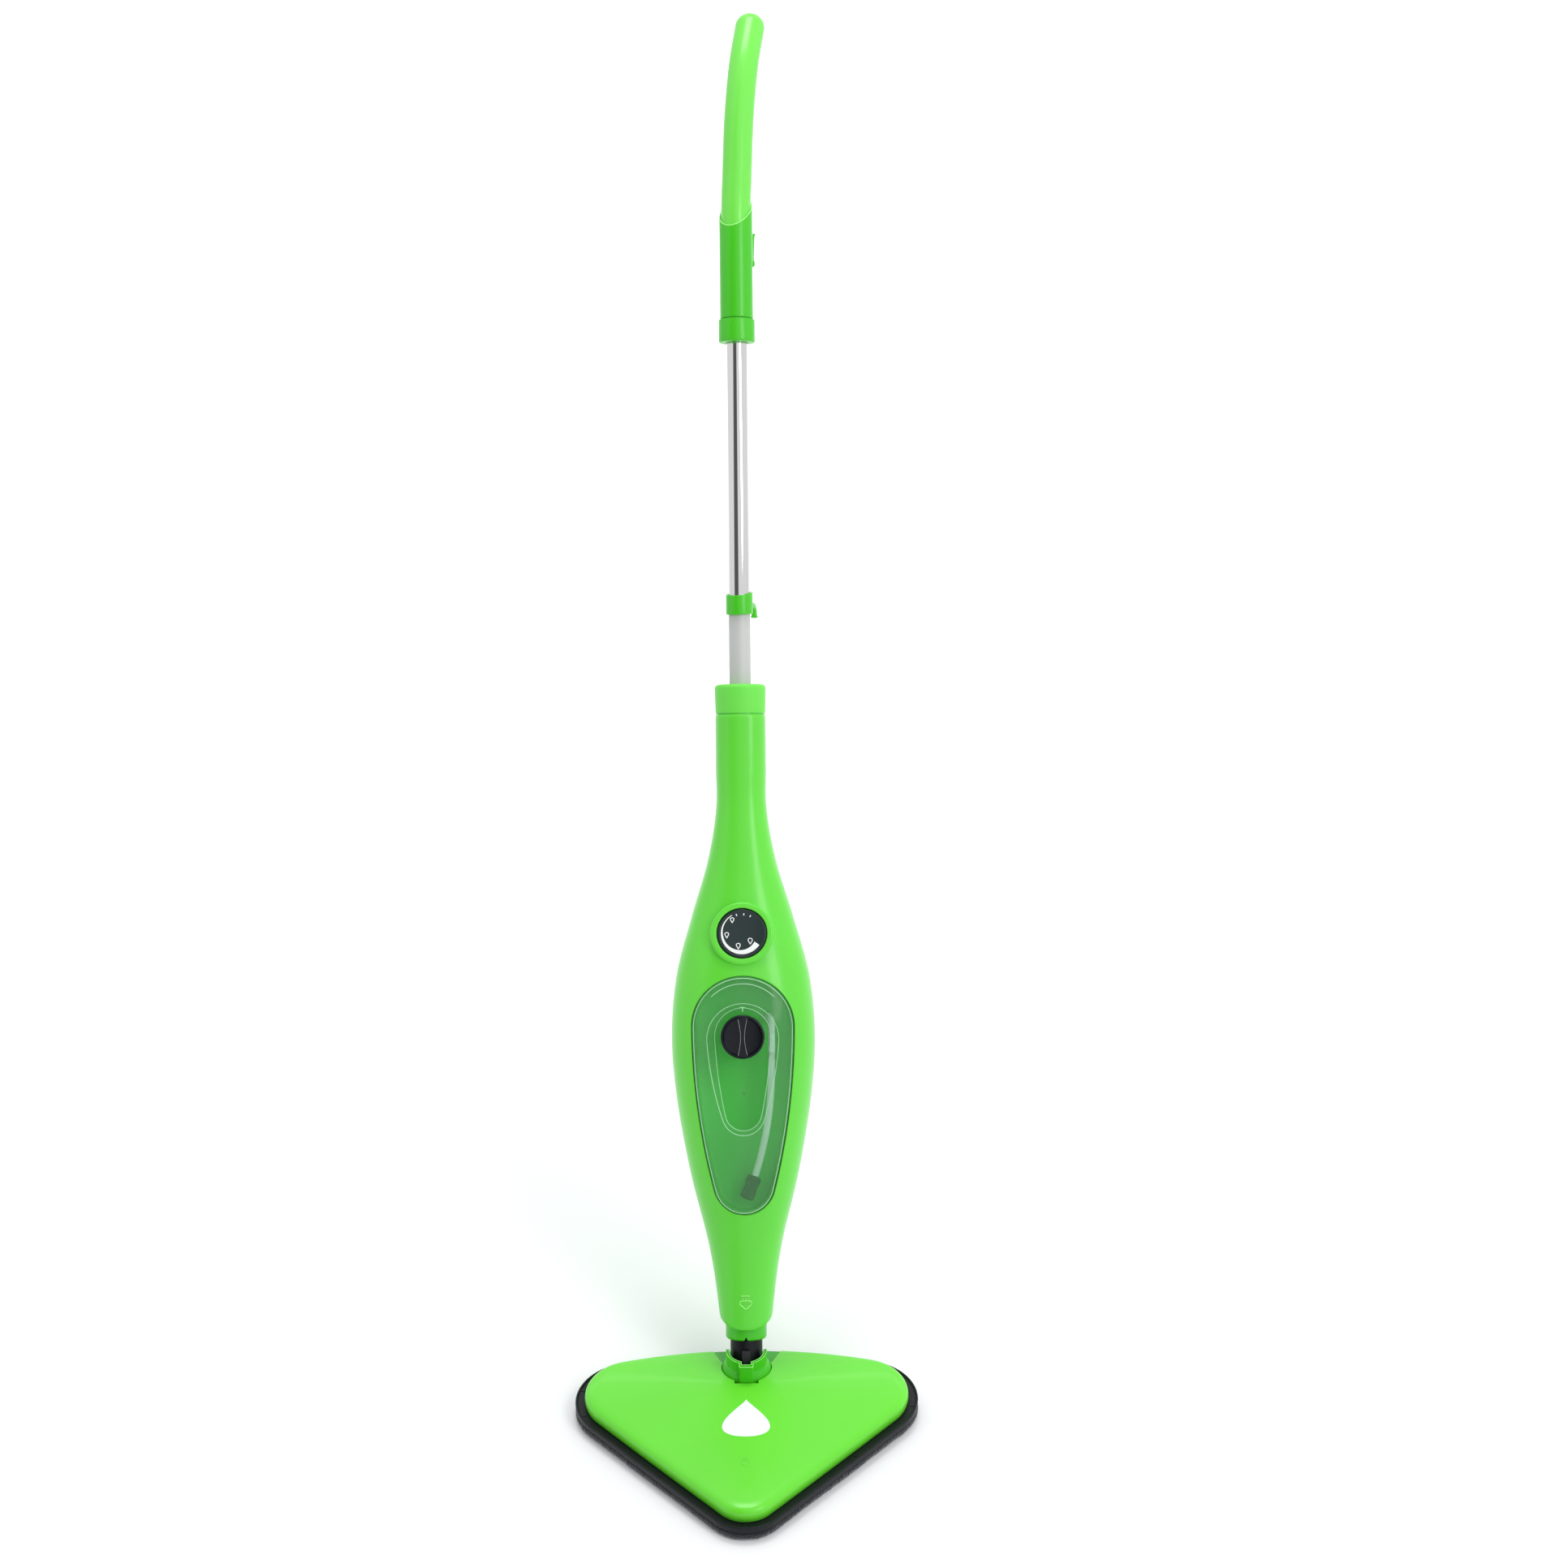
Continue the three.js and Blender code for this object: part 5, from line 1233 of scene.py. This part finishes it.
# ---------------------------------------------------------------- floor, lights and camera
FLOOR_X, FLOOR_Y = np.linspace(-6000, 6000, 13), np.linspace(-5000, 9000, 15)
bm = bmesh.new()
lattice(bm, [[(x, y, 0) for x in FLOOR_X] for y in FLOOR_Y], wrap=False)
floor = add_object("floor", to_metres(bm, "floor", HEAD))
paper = Graph("floor_paper")
paper.link(paper.mix(paper.noise(3.0), colour("f6f6f6"), colour("fafafa")), "Base Color")
paper.set(Roughness=0.9, Specular_IOR_Level=0.1)
floor.data.materials.append(paper.material)

SKY_LIGHT, SKY_DARK, SKY_TINT = 0.95, 0.12, (0.96, 0.98, 1.0, 1)
DARK_SIDE, DARK_FROM, DARK_FULL = Vector((-0.485, -0.875, 0)), 0.9, 0.95
scene = bpy.context.scene
scene.view_settings.view_transform = "Standard"
scene.world = bpy.data.worlds.new("studio")
scene.world.use_nodes = True
tree = scene.world.node_tree


def sky_node(kind, source, **values):
    """Adds a node to the sky, fed with source."""
    node = tree.nodes.new(kind)
    for key, value in values.items():
        setattr(node, key, value)
    if source:
        tree.links.new(source, node.inputs[0])
    return node


# the sky is darker on one side, which gives the chrome its dark stripe
look = sky_node("ShaderNodeTexCoord", None).outputs["Generated"]
level = sky_node("ShaderNodeVectorMath", look, operation="MULTIPLY")
level.inputs[1].default_value = (1, 1, 0)
unit = sky_node("ShaderNodeVectorMath", level.outputs[0], operation="NORMALIZE")
facing = sky_node("ShaderNodeVectorMath", unit.outputs[0], operation="DOT_PRODUCT")
facing.inputs[1].default_value = DARK_SIDE.normalized()
strength = sky_node("ShaderNodeMapRange", facing.outputs["Value"], interpolation_type="SMOOTHSTEP")
for key, value in (("From Min", DARK_FROM), ("From Max", DARK_FULL),
                   ("To Min", SKY_LIGHT), ("To Max", SKY_DARK)):
    strength.inputs[key].default_value = value
sky = tree.nodes["Background"]
sky.inputs["Color"].default_value = SKY_TINT
tree.links.new(strength.outputs["Result"], sky.inputs["Strength"])

# name, place, target, size and power
LIGHTS = (
    ("key", (1.7, -1.4, 2.2), (0, 0.3, 0.5), (0.8, 1.6), 18),
    ("top", (0.0, 0.75, 2.6), (0, -0.1, 0.1), (0.9, 0.7), 16),
    ("far", (0, 3.6, 2.6), (0, 5.2, 0), (6.0, 3.0), 160),
)
for name, place, target, size, power in LIGHTS:
    light = bpy.data.lights.new(name, "AREA")
    light.shape, light.size, light.size_y = "RECTANGLE", *size
    light.energy = power
    obj = add_object(name, light)
    obj.location = place
    obj.rotation_euler = (Vector(target) - Vector(place)).to_track_quat("-Z", "Y").to_euler()

CAMERA_LENS, CAMERA_DISTANCE, CAMERA_ROLL = 66.55, 2.5, math.radians(-0.55)
AIM_UP, AIM_RIGHT = 0.5054, 0.037
camera = bpy.data.cameras.new("camera")
camera.lens, camera.sensor_width = CAMERA_LENS, 36
camera.clip_start, camera.clip_end = 0.05, 50
eye = add_object("camera", camera)
aim = pivot + up * AIM_UP + RIGHT * AIM_RIGHT
roll = Matrix.Rotation(CAMERA_ROLL, 3, front)
eye.matrix_world = axes(roll @ RIGHT, roll @ up, front, aim + front * CAMERA_DISTANCE)
scene.camera = eye
